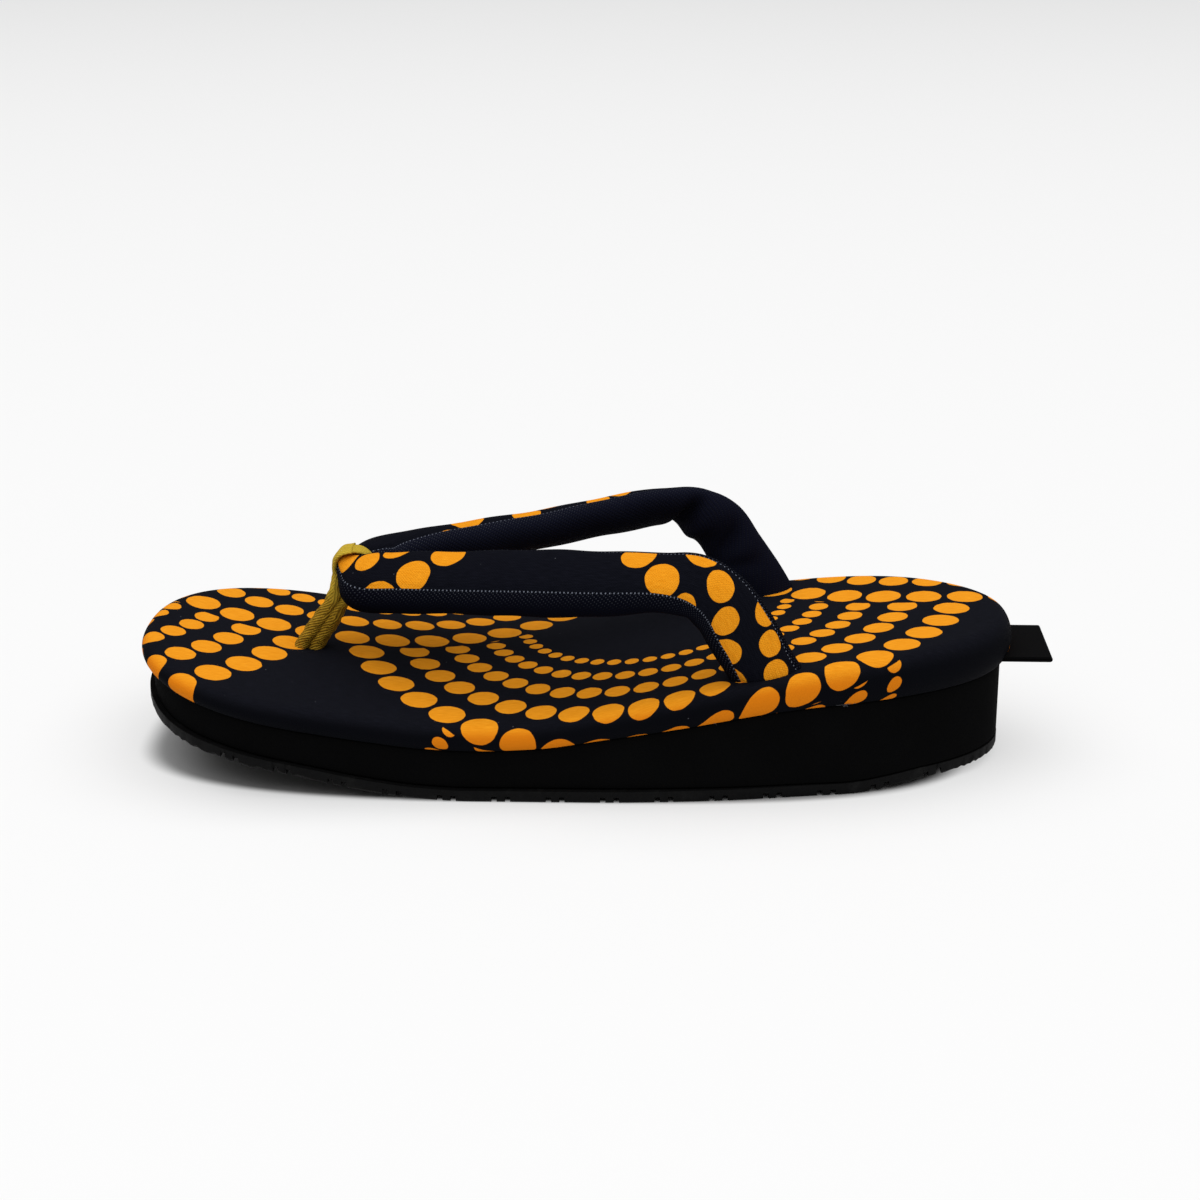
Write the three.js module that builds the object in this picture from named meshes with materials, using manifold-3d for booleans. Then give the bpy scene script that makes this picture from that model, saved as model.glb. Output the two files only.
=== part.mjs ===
// A setta: a flat sandal with a padded footbed on a foam wedge, held by a padded V-strap and a toe thong.
//
// Millimetres, +Z up. The toe points to -X, the heel to +X. "along" is the distance from the toe tip to the heel
// end, "out" the distance from the middle plane, "up" the height over the ground. The plan is the same on both
// sides of the middle plane. The origin is on the ground, in the middle of the sandal's own box.

import * as THREE from 'three';
import Module from 'manifold-3d';

const wasm = await Module();
wasm.setup();

// Driving dimensions
const LENGTH = 250;
const GAP = 0.3;
const OUTSOLE_THICKNESS = 3.4;
const TAG = { reach: 10.5, width: 27, thickness: 1.5, slit: 0.2, seat: 9, up: 31.5 };
const TOE_X = -(LENGTH + TAG.reach) / 2;

// The plan: half widths along the sides, and how far toe and heel take to round off
const PLAN_ROWS = [
  { along: 0, half: 50.4 },
  { along: 60, half: 49.9 },
  { along: 105, half: 48.9 },
  { along: 135, half: 48.6 },
  { along: 165, half: 46.7 },
  { along: 200, half: 41.6 },
  { along: 250, half: 36.4 },
];
const TOE_ROUND = { reach: 50, power: 2.3 };
const HEEL_ROUND = { reach: 54, power: 2.2 };
const MEAN_HALF = 45;

// The side view: the height of the footbed's top at its edge, how far its middle is crowned over that, how thick the
// footbed is at its edge, and the height of the sole's underside
const PROFILE_ROWS = [
  { along: 0, top: 36.6, crown: 0.3, edge: 6.5, under: 18.8 },
  { along: 12, top: 34.2, crown: 0.4, edge: 6.6, under: 14.2 },
  { along: 30, top: 30.8, crown: 0.6, edge: 6.8, under: 10.6 },
  { along: 50, top: 27.5, crown: 1.0, edge: 7.0, under: 6.9 },
  { along: 70, top: 24.6, crown: 1.4, edge: 7.2, under: 2.8 },
  { along: 84, top: 22.9, crown: 1.9, edge: 7.3, under: 0.8 },
  { along: 98, top: 22.3, crown: 2.2, edge: 7.4, under: 0 },
  { along: 115, top: 23.1, crown: 2.1, edge: 7.5, under: 0 },
  { along: 135, top: 26.5, crown: 1.1, edge: 7.9, under: 0 },
  { along: 155, top: 30.4, crown: 0.5, edge: 8.8, under: 0 },
  { along: 178, top: 35.2, crown: 0, edge: 10.0, under: 0 },
  { along: 200, top: 38.4, crown: -0.3, edge: 11.3, under: 0 },
  { along: 225, top: 41.1, crown: 0.2, edge: 12.7, under: 2.3 },
  { along: 250, top: 42.4, crown: 0.3, edge: 13.4, under: 2.8 },
];

// The footbed's edge is a roll: from the flat top out to its widest ring, then in again to its lower rim. Rings are
// given by their inset from the plan and their share of the edge's thickness.
const FOOTBED_ROLL = { inset: 4.7, widest: 0.55, steps: 6 };
const FOOTBED_TURN = { inset: 0.6, share: 0.81 };
const FOOTBED_RIM_INSET = 2.4;
const CROWN_INSETS = [12, 22, 34];
const MIDSOLE_INSET = 2.9;
const OUTSOLE_INSET = 1.6;
const OUTSOLE_CHAMFER = 0.6;

// Cross grooves in the outsole, in pairs
const GROOVE = { first: 29.7, pairs: 14, pitch: 15.3, spread: 3.8, width: 1.5, depth: 1.7 };

// The strap, from the middle of its bend at the toe to its end in the footbed. The section is a flat oval; its
// lean turns the printed face from up (0 degrees) to outward (90 degrees).
const STRAP_ROWS = [
  { along: 61.4, out: 0, up: 52, lean: 32, width: 8.6, thick: 9.8 },
  { along: 64.2, out: 4.8, up: 51.2, lean: 34, width: 16.4, thick: 11.4 },
  { along: 68.2, out: 9.6, up: 51.3, lean: 34, width: 19.8, thick: 11.9 },
  { along: 78, out: 13.8, up: 53, lean: 33, width: 20.4, thick: 11.8 },
  { along: 108, out: 22, up: 56.8, lean: 32, width: 20.6, thick: 11.6 },
  { along: 134, out: 29.2, up: 59.6, lean: 33, width: 20, thick: 10.8 },
  { along: 150, out: 33.2, up: 61, lean: 38, width: 18.8, thick: 9.2 },
  { along: 159, out: 34.8, up: 60.1, lean: 52, width: 18.2, thick: 10 },
  { along: 166, out: 35.2, up: 55.4, lean: 67, width: 18.2, thick: 11.4 },
  { along: 171.5, out: 35.2, up: 47.2, lean: 78, width: 18.6, thick: 12.2 },
  { along: 177, out: 35, up: 37.5, lean: 86, width: 19, thick: 12.4 },
  { along: 180.5, out: 35, up: 31.5, lean: 88, width: 19, thick: 12.2 },
];
const STRAP_STEPS = 72;
const STRAP_SIDES = 20;

// The toe thong: two plump rolls that rise side by side from the footbed, draw together into thin strands under the
// strap's bend and wrap it from the front and from behind. A wrap row gives the angle on the bend's own oval: 0 at its
// front edge, 90 on its printed face.
const THONG_LEGS = {
  front: {
    rise: [
      { along: 43.6, up: 26.4, width: 6.6, thick: 3.4 },
      { along: 46.2, up: 30.6, width: 6.8, thick: 3.7 },
      { along: 50.6, up: 37, width: 7, thick: 4 },
      { along: 53.4, up: 42.8, width: 5, thick: 2.8 },
    ],
    wrap: [
      { angle: 14, width: 3.4, thick: 1.8 },
      { angle: 38, width: 3.8, thick: 1.6 },
      { angle: 64, width: 6, thick: 1.6 },
      { angle: 92, width: 7.2, thick: 1.6 },
      { angle: 120, width: 7, thick: 1.6 },
    ],
  },
  back: {
    rise: [
      { along: 47.9, up: 25.6, width: 6.6, thick: 3.6 },
      { along: 49.9, up: 29.8, width: 6.8, thick: 3.9 },
      { along: 54.2, up: 36.4, width: 7, thick: 4.1 },
      { along: 58, up: 41.8, width: 5.6, thick: 2.8 },
    ],
    wrap: [
      { angle: 300, width: 4.6, thick: 1.8 },
      { angle: 265, width: 4.2, thick: 1.6 },
      { angle: 225, width: 4, thick: 1.6 },
      { angle: 180, width: 4.2, thick: 1.6 },
      { angle: 145, width: 5.6, thick: 1.6 },
      { angle: 110, width: 7, thick: 1.5 },
    ],
  },
};
const THONG_STEPS = 28;
const THONG_SIDES = 14;

const PLAN_STATIONS = 44;

// A smooth curve through one column of a table, with no overshoot between its rows
function columnCurve(rows, at, column) {
  const count = rows.length;
  const step = (i) => rows[i + 1][at] - rows[i][at];
  const slope = (i) => (rows[i + 1][column] - rows[i][column]) / step(i);
  const tangent = rows.map((row, i) => {
    if (i === 0) return slope(0);
    if (i === count - 1) return slope(count - 2);
    const before = slope(i - 1);
    const after = slope(i);
    if (before * after <= 0) return 0;
    const heavy = 2 * step(i) + step(i - 1);
    const light = step(i) + 2 * step(i - 1);
    return (heavy + light) / (heavy / before + light / after);
  });
  return (x) => {
    let i = 0;
    while (i < count - 2 && x > rows[i + 1][at]) i += 1;
    const width = step(i);
    const t = THREE.MathUtils.clamp((x - rows[i][at]) / width, 0, 1);
    const bend = t * t * (3 - 2 * t);
    const start = t * (1 - t) * (1 - t) * width * tangent[i];
    const end = t * t * (t - 1) * width * tangent[i + 1];
    return rows[i][column] * (1 - bend) + rows[i + 1][column] * bend + start + end;
  };
}

const sideHalf = columnCurve(PLAN_ROWS, 'along', 'half');
const topHeight = columnCurve(PROFILE_ROWS, 'along', 'top');
const crownRise = columnCurve(PROFILE_ROWS, 'along', 'crown');
const edgeHeight = columnCurve(PROFILE_ROWS, 'along', 'edge');
const underHeight = columnCurve(PROFILE_ROWS, 'along', 'under');

// How much of the half width is left near a rounded end, as a superellipse
function endRound(distance, { reach, power }) {
  const left = Math.max(1 - distance / reach, 0);
  return (1 - left ** power) ** (1 / power);
}

function planHalf(along) {
  return sideHalf(along) * endRound(along, TOE_ROUND) * endRound(LENGTH - along, HEEL_ROUND);
}

// A closed indexed mesh as a solid that can be joined and cut, and back again
function solidOf(points, triangles) {
  const vertProperties = new Float32Array(points.flat());
  const triVerts = new Uint32Array(triangles.flat());
  return new wasm.Manifold(new wasm.Mesh({ numProp: 3, vertProperties, triVerts }));
}

function geometryOf(solid) {
  const { vertProperties, triVerts } = solid.getMesh();
  const geometry = new THREE.BufferGeometry();
  geometry.setAttribute('position', new THREE.BufferAttribute(Float32Array.from(vertProperties), 3));
  geometry.setIndex(new THREE.BufferAttribute(Uint32Array.from(triVerts), 1));
  return geometry;
}

// A layer of the sole: rings of the plan, one for each level from below, closed by strips across top and bottom.
// A level has an inset from the plan and a height that is a function of the place along the foot.
function layer(levels) {
  const ringSize = 2 * PLAN_STATIONS;
  const points = [];
  for (const { inset, height } of levels) {
    for (let i = 0; i < ringSize; i += 1) {
      const turn = (i / PLAN_STATIONS) * Math.PI;
      const full = (LENGTH / 2) * (1 - Math.cos(turn));
      const along = inset + full * (1 - (2 * inset) / LENGTH);
      const half = i % PLAN_STATIONS === 0 ? 0 : planHalf(full) * (1 - inset / MEAN_HALF);
      const side = i < PLAN_STATIONS ? -1 : 1;
      points.push([TOE_X + along, side * half, height(along)]);
    }
  }
  const triangles = [];
  for (let level = 0; level + 1 < levels.length; level += 1) {
    for (let i = 0; i < ringSize; i += 1) {
      const a = level * ringSize + i;
      const b = level * ringSize + ((i + 1) % ringSize);
      triangles.push([a, b, b + ringSize], [a, b + ringSize, a + ringSize]);
    }
  }
  const last = (levels.length - 1) * ringSize;
  for (let i = 0; i < PLAN_STATIONS; i += 1) {
    const near = [i, i + 1];
    const far = [(ringSize - i) % ringSize, ringSize - i - 1];
    if (i + 1 < PLAN_STATIONS) {
      triangles.push([near[0], far[1], near[1]]);
      triangles.push([last + near[0], last + near[1], last + far[1]]);
    }
    if (i > 0) {
      triangles.push([near[0], far[0], far[1]]);
      triangles.push([last + near[0], last + far[1], last + far[0]]);
    }
  }
  return solidOf(points, triangles);
}

// A tube with an oval section that changes along its path. A station has a centre, two half axes as vectors and
// their unit directions, and "grow" makes every section larger by that much.
function tube(stations, sides, grow = 0) {
  const points = [];
  const ends = stations.length - 1;
  stations.forEach(({ centre, wide, thin }, row) => {
    const place = centre.clone();
    if (row === 0) place.add(centre.clone().sub(stations[1].centre).setLength(grow));
    if (row === ends) place.add(centre.clone().sub(stations[ends - 1].centre).setLength(grow));
    for (let k = 0; k < sides; k += 1) {
      const angle = (k / sides) * 2 * Math.PI;
      const point = place.clone();
      point.addScaledVector(wide, Math.cos(angle) * (1 + grow / wide.length()));
      point.addScaledVector(thin, Math.sin(angle) * (1 + grow / thin.length()));
      points.push(point.toArray());
    }
  });
  const triangles = [];
  for (let row = 0; row < ends; row += 1) {
    for (let k = 0; k < sides; k += 1) {
      const a = row * sides + k;
      const b = row * sides + ((k + 1) % sides);
      triangles.push([a, a + sides, b + sides], [a, b + sides, b]);
    }
  }
  const last = ends * sides;
  for (let k = 1; k + 1 < sides; k += 1) {
    triangles.push([0, k, k + 1]);
    triangles.push([last, last + k + 1, last + k]);
  }
  return solidOf(points, triangles);
}

// The strap's stations, from its end on the +Y side round the toe bend to its end on the -Y side
function strapStations() {
  const farSide = STRAP_ROWS.slice(1).reverse().map((row) => ({ ...row, side: 1 }));
  const nearSide = STRAP_ROWS.map((row) => ({ ...row, side: -1 }));
  const rows = [...farSide, ...nearSide].map((row, index) => ({ ...row, index }));
  const path = new THREE.CatmullRomCurve3(
    rows.map((row) => new THREE.Vector3(TOE_X + row.along, row.side * row.out, row.up)),
    false,
    'centripetal',
  );
  const lean = columnCurve(rows, 'index', 'lean');
  const width = columnCurve(rows, 'index', 'width');
  const thick = columnCurve(rows, 'index', 'thick');
  const up = new THREE.Vector3(0, 0, 1);
  const stations = [];
  for (let i = 0; i <= STRAP_STEPS; i += 1) {
    const t = path.getUtoTmapping(i / STRAP_STEPS);
    const index = t * (rows.length - 1);
    const tangent = path.getTangent(t);
    const outward = tangent.clone().cross(up).normalize();
    const upward = outward.clone().cross(tangent);
    const angle = THREE.MathUtils.degToRad(lean(index));
    const wide = outward.clone().multiplyScalar(Math.cos(angle)).addScaledVector(upward, -Math.sin(angle));
    const thin = outward.clone().multiplyScalar(Math.sin(angle)).addScaledVector(upward, Math.cos(angle));
    stations.push({
      centre: path.getPoint(t),
      wide: wide.multiplyScalar(width(index) / 2),
      thin: thin.multiplyScalar(thick(index) / 2),
    });
  }
  return stations;
}

// One leg of the thong: its rows over the footbed, then its wrap round the strap's bend at a clear gap
function thongStations({ rise, wrap }) {
  const bend = STRAP_ROWS[0];
  const lean = THREE.MathUtils.degToRad(bend.lean);
  const wide = new THREE.Vector2(-Math.cos(lean), -Math.sin(lean)).multiplyScalar(bend.width / 2);
  const thin = new THREE.Vector2(-Math.sin(lean), Math.cos(lean)).multiplyScalar(bend.thick / 2);
  const wrapped = wrap.map(({ angle, width, thick }) => {
    const turn = THREE.MathUtils.degToRad(angle);
    const normal = wide.clone().multiplyScalar(Math.cos(turn) / wide.lengthSq());
    normal.addScaledVector(thin, Math.sin(turn) / thin.lengthSq()).normalize();
    const place = new THREE.Vector2(bend.along, bend.up);
    place.addScaledVector(wide, Math.cos(turn)).addScaledVector(thin, Math.sin(turn));
    place.addScaledVector(normal, 2 * GAP + thick / 2);
    return { along: place.x, up: place.y, width, thick };
  });
  const rows = [...rise, ...wrapped].map((row, index) => ({ ...row, index }));
  const path = new THREE.CatmullRomCurve3(
    rows.map((row) => new THREE.Vector3(TOE_X + row.along, 0, row.up)),
    false,
    'centripetal',
  );
  const width = columnCurve(rows, 'index', 'width');
  const thick = columnCurve(rows, 'index', 'thick');
  const across = new THREE.Vector3(0, 1, 0);
  const stations = [];
  for (let i = 0; i <= THONG_STEPS; i += 1) {
    const t = path.getUtoTmapping(i / THONG_STEPS);
    const index = t * (rows.length - 1);
    const facing = path.getTangent(t).cross(across).normalize();
    stations.push({
      centre: path.getPoint(t),
      wide: across.clone().multiplyScalar(-width(index) / 2),
      thin: facing.multiplyScalar(thick(index) / 2),
    });
  }
  return stations;
}

function thongSolid(grow = 0) {
  const [front, back] = ['front', 'back'].map((leg) => tube(thongStations(THONG_LEGS[leg]), THONG_SIDES, grow));
  return front.add(back);
}

function box(size, centre, pitch = 0) {
  const geometry = new THREE.BoxGeometry(...size);
  geometry.rotateY(pitch);
  geometry.translate(...centre);
  const corners = [];
  const cornerOf = new Map();
  const position = geometry.getAttribute('position');
  const merged = [];
  for (let i = 0; i < position.count; i += 1) {
    const corner = [position.getX(i), position.getY(i), position.getZ(i)];
    const key = corner.map((value) => value.toFixed(4)).join();
    if (!cornerOf.has(key)) cornerOf.set(key, corners.push(corner) - 1);
    merged.push(cornerOf.get(key));
  }
  const triangles = [];
  const index = geometry.getIndex();
  for (let i = 0; i < index.count; i += 3) {
    triangles.push([0, 1, 2].map((k) => merged[index.getX(i + k)]));
  }
  return solidOf(corners, triangles);
}

function outsoleSolid() {
  const raised = (by) => (along) => underHeight(along) + by;
  let solid = layer([
    { inset: OUTSOLE_INSET + OUTSOLE_CHAMFER, height: raised(0) },
    { inset: OUTSOLE_INSET, height: raised(OUTSOLE_CHAMFER) },
    { inset: OUTSOLE_INSET, height: raised(OUTSOLE_THICKNESS) },
  ]);
  for (let pair = 0; pair < GROOVE.pairs; pair += 1) {
    for (const side of [-0.5, 0.5]) {
      const along = GROOVE.first + pair * GROOVE.pitch + side * GROOVE.spread;
      const pitch = -Math.atan2(underHeight(along + 1) - underHeight(along - 1), 2);
      const size = [GROOVE.width, 4 * MEAN_HALF, 2 * GROOVE.depth];
      solid = solid.subtract(box(size, [TOE_X + along, 0, underHeight(along)], pitch));
    }
  }
  return solid;
}

function midsoleSolid() {
  return layer([
    { inset: MIDSOLE_INSET, height: (along) => underHeight(along) + OUTSOLE_THICKNESS + GAP },
    { inset: MIDSOLE_INSET, height: (along) => topHeight(along) - edgeHeight(along) - GAP },
  ]);
}

// The slot for the heel tag, in the footbed's wall
function tagSlot() {
  const size = [2 * (TAG.seat + GAP), TAG.width + 2 * GAP, TAG.thickness + 2 * GAP];
  return box(size, [TOE_X + LENGTH, 0, TAG.up]);
}

function footbedSolid(cutters) {
  const dropped = (share) => (along) => topHeight(along) - share * edgeHeight(along);
  const crowned = (share) => (along) => topHeight(along) + share * crownRise(along);
  const levels = [
    { inset: FOOTBED_RIM_INSET, height: dropped(1) },
    { inset: FOOTBED_TURN.inset, height: dropped(FOOTBED_TURN.share) },
  ];
  for (let i = 0; i <= FOOTBED_ROLL.steps; i += 1) {
    const turn = (i / FOOTBED_ROLL.steps) * (Math.PI / 2);
    levels.push({
      inset: FOOTBED_ROLL.inset * (1 - Math.cos(turn)),
      height: dropped(FOOTBED_ROLL.widest * (1 - Math.sin(turn))),
    });
  }
  for (const inset of CROWN_INSETS) {
    const out = (MEAN_HALF - inset) / (MEAN_HALF - FOOTBED_ROLL.inset);
    levels.push({ inset, height: crowned(1 - out ** 2) });
  }
  let solid = layer(levels);
  for (const cutter of cutters) solid = solid.subtract(cutter);
  return solid;
}

// The tag is a ribbon folded back on itself: two flat layers with a round fold at the outer end
function tagGeometry() {
  const radius = TAG.thickness / 2;
  const inside = TAG.slit / 2;
  const start = TOE_X + LENGTH - TAG.seat;
  const fold = TOE_X + LENGTH + TAG.reach - radius;
  const middle = TAG.up;
  const side = new THREE.Shape();
  side.moveTo(start, middle - radius);
  side.lineTo(fold, middle - radius);
  side.absarc(fold, middle, radius, -Math.PI / 2, Math.PI / 2, false);
  side.lineTo(start, middle + radius);
  side.lineTo(start, middle + inside);
  side.lineTo(fold, middle + inside);
  side.absarc(fold, middle, inside, Math.PI / 2, -Math.PI / 2, true);
  side.lineTo(start, middle - inside);
  side.closePath();
  const geometry = new THREE.ExtrudeGeometry(side, { depth: TAG.width, bevelEnabled: false, curveSegments: 8 });
  geometry.rotateX(Math.PI / 2);
  geometry.translate(0, TAG.width / 2, 0);
  return geometry;
}

function piece(name, geometry, material) {
  const mesh = new THREE.Mesh(geometry, new THREE.MeshStandardMaterial(material));
  mesh.name = name;
  return mesh;
}

const strapPath = strapStations();
const strap = tube(strapPath, STRAP_SIDES);
const strapSocket = tube(strapPath, STRAP_SIDES, GAP);

const setta = new THREE.Group();
setta.add(
  piece('outsole', geometryOf(outsoleSolid()), { color: 0x24262a, roughness: 0.75, metalness: 0 }),
  piece('midsole', geometryOf(midsoleSolid()), { color: 0x121214, roughness: 0.9, metalness: 0 }),
  piece('footbed', geometryOf(footbedSolid([strapSocket, thongSolid(GAP), tagSlot()])), {
    color: 0x14161f, roughness: 0.85, metalness: 0,
  }),
  piece('strap', geometryOf(strap), { color: 0x191c2a, roughness: 0.9, metalness: 0 }),
  piece('toe_thong', geometryOf(thongSolid().subtract(strapSocket)), { color: 0x8f6f1c, roughness: 0.85, metalness: 0 }),
  piece('heel_tag', tagGeometry(), { color: 0x0b0b0c, roughness: 0.7, metalness: 0 }),
);

export default setta;
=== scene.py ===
# %% [markdown]
# A setta sandal, dressed over its solids.
# The real thing is a flat sandal: a padded footbed wrapped in dot-ring cotton, a foam wedge, a thin rubber sole,
# a stuffed V-strap and a thong of mustard cloth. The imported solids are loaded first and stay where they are.
# Every new piece is worked out in millimetres from the same tables as the solids, so nothing has to be fitted.

import bmesh
import bpy
import numpy as np
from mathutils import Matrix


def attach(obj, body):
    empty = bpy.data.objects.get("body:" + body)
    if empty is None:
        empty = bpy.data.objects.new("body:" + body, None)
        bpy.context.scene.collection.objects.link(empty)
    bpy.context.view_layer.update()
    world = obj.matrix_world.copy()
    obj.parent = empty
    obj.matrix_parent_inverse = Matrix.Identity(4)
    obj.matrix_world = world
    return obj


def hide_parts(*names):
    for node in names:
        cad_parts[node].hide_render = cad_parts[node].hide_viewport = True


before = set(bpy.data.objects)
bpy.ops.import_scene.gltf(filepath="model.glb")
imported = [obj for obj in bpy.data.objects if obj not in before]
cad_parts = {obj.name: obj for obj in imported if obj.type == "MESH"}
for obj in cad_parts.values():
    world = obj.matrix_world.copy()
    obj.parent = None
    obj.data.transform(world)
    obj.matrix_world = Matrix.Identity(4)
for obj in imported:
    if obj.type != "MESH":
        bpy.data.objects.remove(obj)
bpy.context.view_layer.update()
MM = 0.001

# %% [markdown]
# The camera stands low in front of the long side, a little above the sandal, and looks down by 19 degrees.
# A camera could be aimed with a constraint, but plain angles are easier to read and never depend on an object.
# The lens is long, so the near and the far edge of the footbed keep almost the same scale.

# %% Camera
CAMERA_PLACE = (0.0242, -0.6656, 0.2746)
CAMERA_DOWN = 19.16
CAMERA_TURN = 1.95
CAMERA_LENS = 73.35

camera_data = bpy.data.cameras.new("camera")
camera_data.lens = CAMERA_LENS
camera_data.sensor_width = 36
camera = bpy.data.objects.new("camera", camera_data)
camera.location = CAMERA_PLACE
camera.rotation_euler = (np.radians(90 - CAMERA_DOWN), 0, np.radians(CAMERA_TURN))
bpy.context.scene.collection.objects.link(camera)
bpy.context.scene.camera = camera
print("camera", CAMERA_PLACE, "lens", CAMERA_LENS, "mm")

# %% [markdown]
# The sandal's own sizes come next: the plan outline, and the side view with the footbed's top and the sole's
# underside. "Along" runs from the toe tip to the heel end. A spline object could hold these curves, but a table with
# a curve through each column is shorter, and it gives whole arrays of heights at once.

# %% Sizes
LENGTH = 250
TAG_REACH = 10.5
TOE_X = -(LENGTH + TAG_REACH) / 2
OUTSOLE_THICKNESS = 3.4
GAP = 0.3
MEAN_HALF = 45
# reach and power of the rounded ends
TOE_ROUND, HEEL_ROUND = (50, 2.3), (54, 2.2)
# along, half width
PLAN = np.array([(0, 50.4), (60, 49.9), (105, 48.9), (135, 48.6), (165, 46.7), (200, 41.6), (250, 36.4)])
# along, top at the edge, crown of the middle over it, thickness of the edge, underside of the sole
PROFILE = np.array([
    (0, 36.6, 0.3, 6.5, 18.8), (12, 34.2, 0.4, 6.6, 14.2), (30, 30.8, 0.6, 6.8, 10.6), (50, 27.5, 1.0, 7.0, 6.9),
    (70, 24.6, 1.4, 7.2, 2.8), (84, 22.9, 1.9, 7.3, 0.8), (98, 22.3, 2.2, 7.4, 0), (115, 23.1, 2.1, 7.5, 0),
    (135, 26.5, 1.1, 7.9, 0), (155, 30.4, 0.5, 8.8, 0), (178, 35.2, 0, 10.0, 0), (200, 38.4, -0.3, 11.3, 0),
    (225, 41.1, 0.2, 12.7, 2.3), (250, 42.4, 0.3, 13.4, 2.8),
])


def column_curve(x, y):
    """A cubic through the points (x, y). Each inner slope is a weighted harmonic mean of its two neighbours' slopes,
    or zero where they disagree in sign, so the curve never swings past its points."""
    x = np.asarray(x, float)
    y = np.asarray(y, float)
    step = np.diff(x)
    slope = np.diff(y) / step
    tangent = np.concatenate([slope[:1], np.zeros(len(x) - 2), slope[-1:]])
    before, after = slope[:-1], slope[1:]
    agree = before * after > 0
    heavy = 2 * step[1:] + step[:-1]
    light = step[1:] + 2 * step[:-1]
    mean = heavy / np.where(agree, before, 1) + light / np.where(agree, after, 1)
    tangent[1:-1] = np.where(agree, (heavy + light) / mean, 0)

    def curve(at):
        at = np.clip(at, x[0], x[-1])
        i = np.clip(np.searchsorted(x, at, side="right") - 1, 0, len(step) - 1)
        t = (at - x[i]) / step[i]
        bend = t * t * (3 - 2 * t)
        lift = step[i] * (tangent[i] * t * (1 - t) ** 2 + tangent[i + 1] * t * t * (t - 1))
        return y[i] * (1 - bend) + y[i + 1] * bend + lift

    return curve


side_half = column_curve(PLAN[:, 0], PLAN[:, 1])
top_height, crown_rise, edge_height, under_height = (column_curve(PROFILE[:, 0], PROFILE[:, k]) for k in range(1, 5))


def end_round(distance, reach, power):
    """What is left of the half width near a rounded end: one minus the missing share to a power, rooted again."""
    left = np.maximum(1 - distance / reach, 0)
    return (1 - left ** power) ** (1 / power)


def plan_half(along):
    """Half width of the outline: the side curve, rounded off as a superellipse at the toe and at the heel."""
    return side_half(along) * end_round(along, *TOE_ROUND) * end_round(LENGTH - along, *HEEL_ROUND)


def smooth_step(low, high, x):
    """0 below low, 1 above high, and a cubic ease between them."""
    t = np.clip((x - low) / (high - low), 0, 1)
    return t * t * (3 - 2 * t)


def hump(x, middle, reach):
    """A soft bell: one at the middle, and almost gone at twice the reach."""
    return np.exp(-(((x - middle) / reach) ** 2))


print("widest half at", PLAN[:, 1].max(), "mm; heel top", top_height(LENGTH), "mm")

# %% [markdown]
# Each soft piece here is one grid of points. A grid can be laid out by hand in edit mode, but a formula keeps the
# rows even and makes the UV map on the way: the second grid gives, for each point, its place on the flat cloth.
# Where a row shrinks to a point or folds onto itself, its doubles are merged, so the skin is closed. Tubes get a row at
# each end that is all one point.

# %% Grid helper
MERGE_DISTANCE = 2e-6


def grid_corners(rows, columns):
    """Corner numbers of every quad of a rows by columns grid: this row and the next, this column and the next."""
    start = (np.arange(rows - 1)[:, None] * columns + np.arange(columns - 1)[None, :]).ravel()
    return np.stack([start, start + 1, start + columns + 1, start + columns], axis=1)


def run_along(steps):
    """The running total of steps along the last axis, starting from zero."""
    total = np.cumsum(steps, axis=-1)
    return np.concatenate([np.zeros(total.shape[:-1] + (1,)), total], axis=-1)


def capped(points):
    """Closes both ends of a tube with one row at the middle of each end."""
    first = points[:1, :-1].mean(axis=1, keepdims=True).repeat(points.shape[1], axis=1)
    last = points[-1:, :-1].mean(axis=1, keepdims=True).repeat(points.shape[1], axis=1)
    return np.concatenate([first, points, last])


def capped_rows(values):
    """Repeats the end rows of any grid that goes with a capped tube."""
    return np.concatenate([values[:1], values, values[-1:]])


def finish_piece(obj, nodes=()):
    """Links a new piece into the scene, ties it to the body, and hides the solids that it stands for."""
    bpy.context.scene.collection.objects.link(obj)
    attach(obj, "root")
    if nodes:
        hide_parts(*nodes)


def skin(name, points, cloth=None, marks=None):
    """A closed smooth mesh over a grid of points in millimetres. The last column lies on the first, and the ends
    shrink to nothing. cloth is a grid of UV values in metres, marks are grids of one number for each point."""
    rows, columns, _ = points.shape
    mesh = bpy.data.meshes.new(name)
    corners = grid_corners(rows, columns)
    mesh.from_pydata((points.reshape(-1, 3) * MM).tolist(), [], corners.tolist())
    if cloth is not None:
        layer = mesh.uv_layers.new(name="cloth")
        layer.data.foreach_set("uv", cloth.reshape(-1, 2)[corners.ravel()].astype(np.float32).ravel())
    for mark, values in (marks or {}).items():
        attribute = mesh.attributes.new(mark, "FLOAT", "POINT")
        attribute.data.foreach_set("value", np.asarray(values, np.float32).ravel())
    work = bmesh.new()
    work.from_mesh(mesh)
    bmesh.ops.remove_doubles(work, verts=work.verts, dist=MERGE_DISTANCE)
    bmesh.ops.dissolve_degenerate(work, edges=work.edges, dist=MERGE_DISTANCE)
    bmesh.ops.recalc_face_normals(work, faces=work.faces)
    open_edges = sum(1 for edge in work.edges if not edge.is_manifold)
    for face in work.faces:
        face.smooth = True
    work.to_mesh(mesh)
    work.free()
    print(name, len(mesh.vertices), "points,", len(mesh.polygons), "faces,", open_edges, "open edges")
    return bpy.data.objects.new(name, mesh)


# %% [markdown]
# The footbed is a pad in cotton: its edge is a plump roll that turns under to a lower rim, and its top is almost flat,
# a little crowned at the ball, as the cloth shows by how its dots spread. Rings of the outline, one inside the other,
# follow the rolled edge better than a straight loft would. The innermost ring is a line down the middle.

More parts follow.
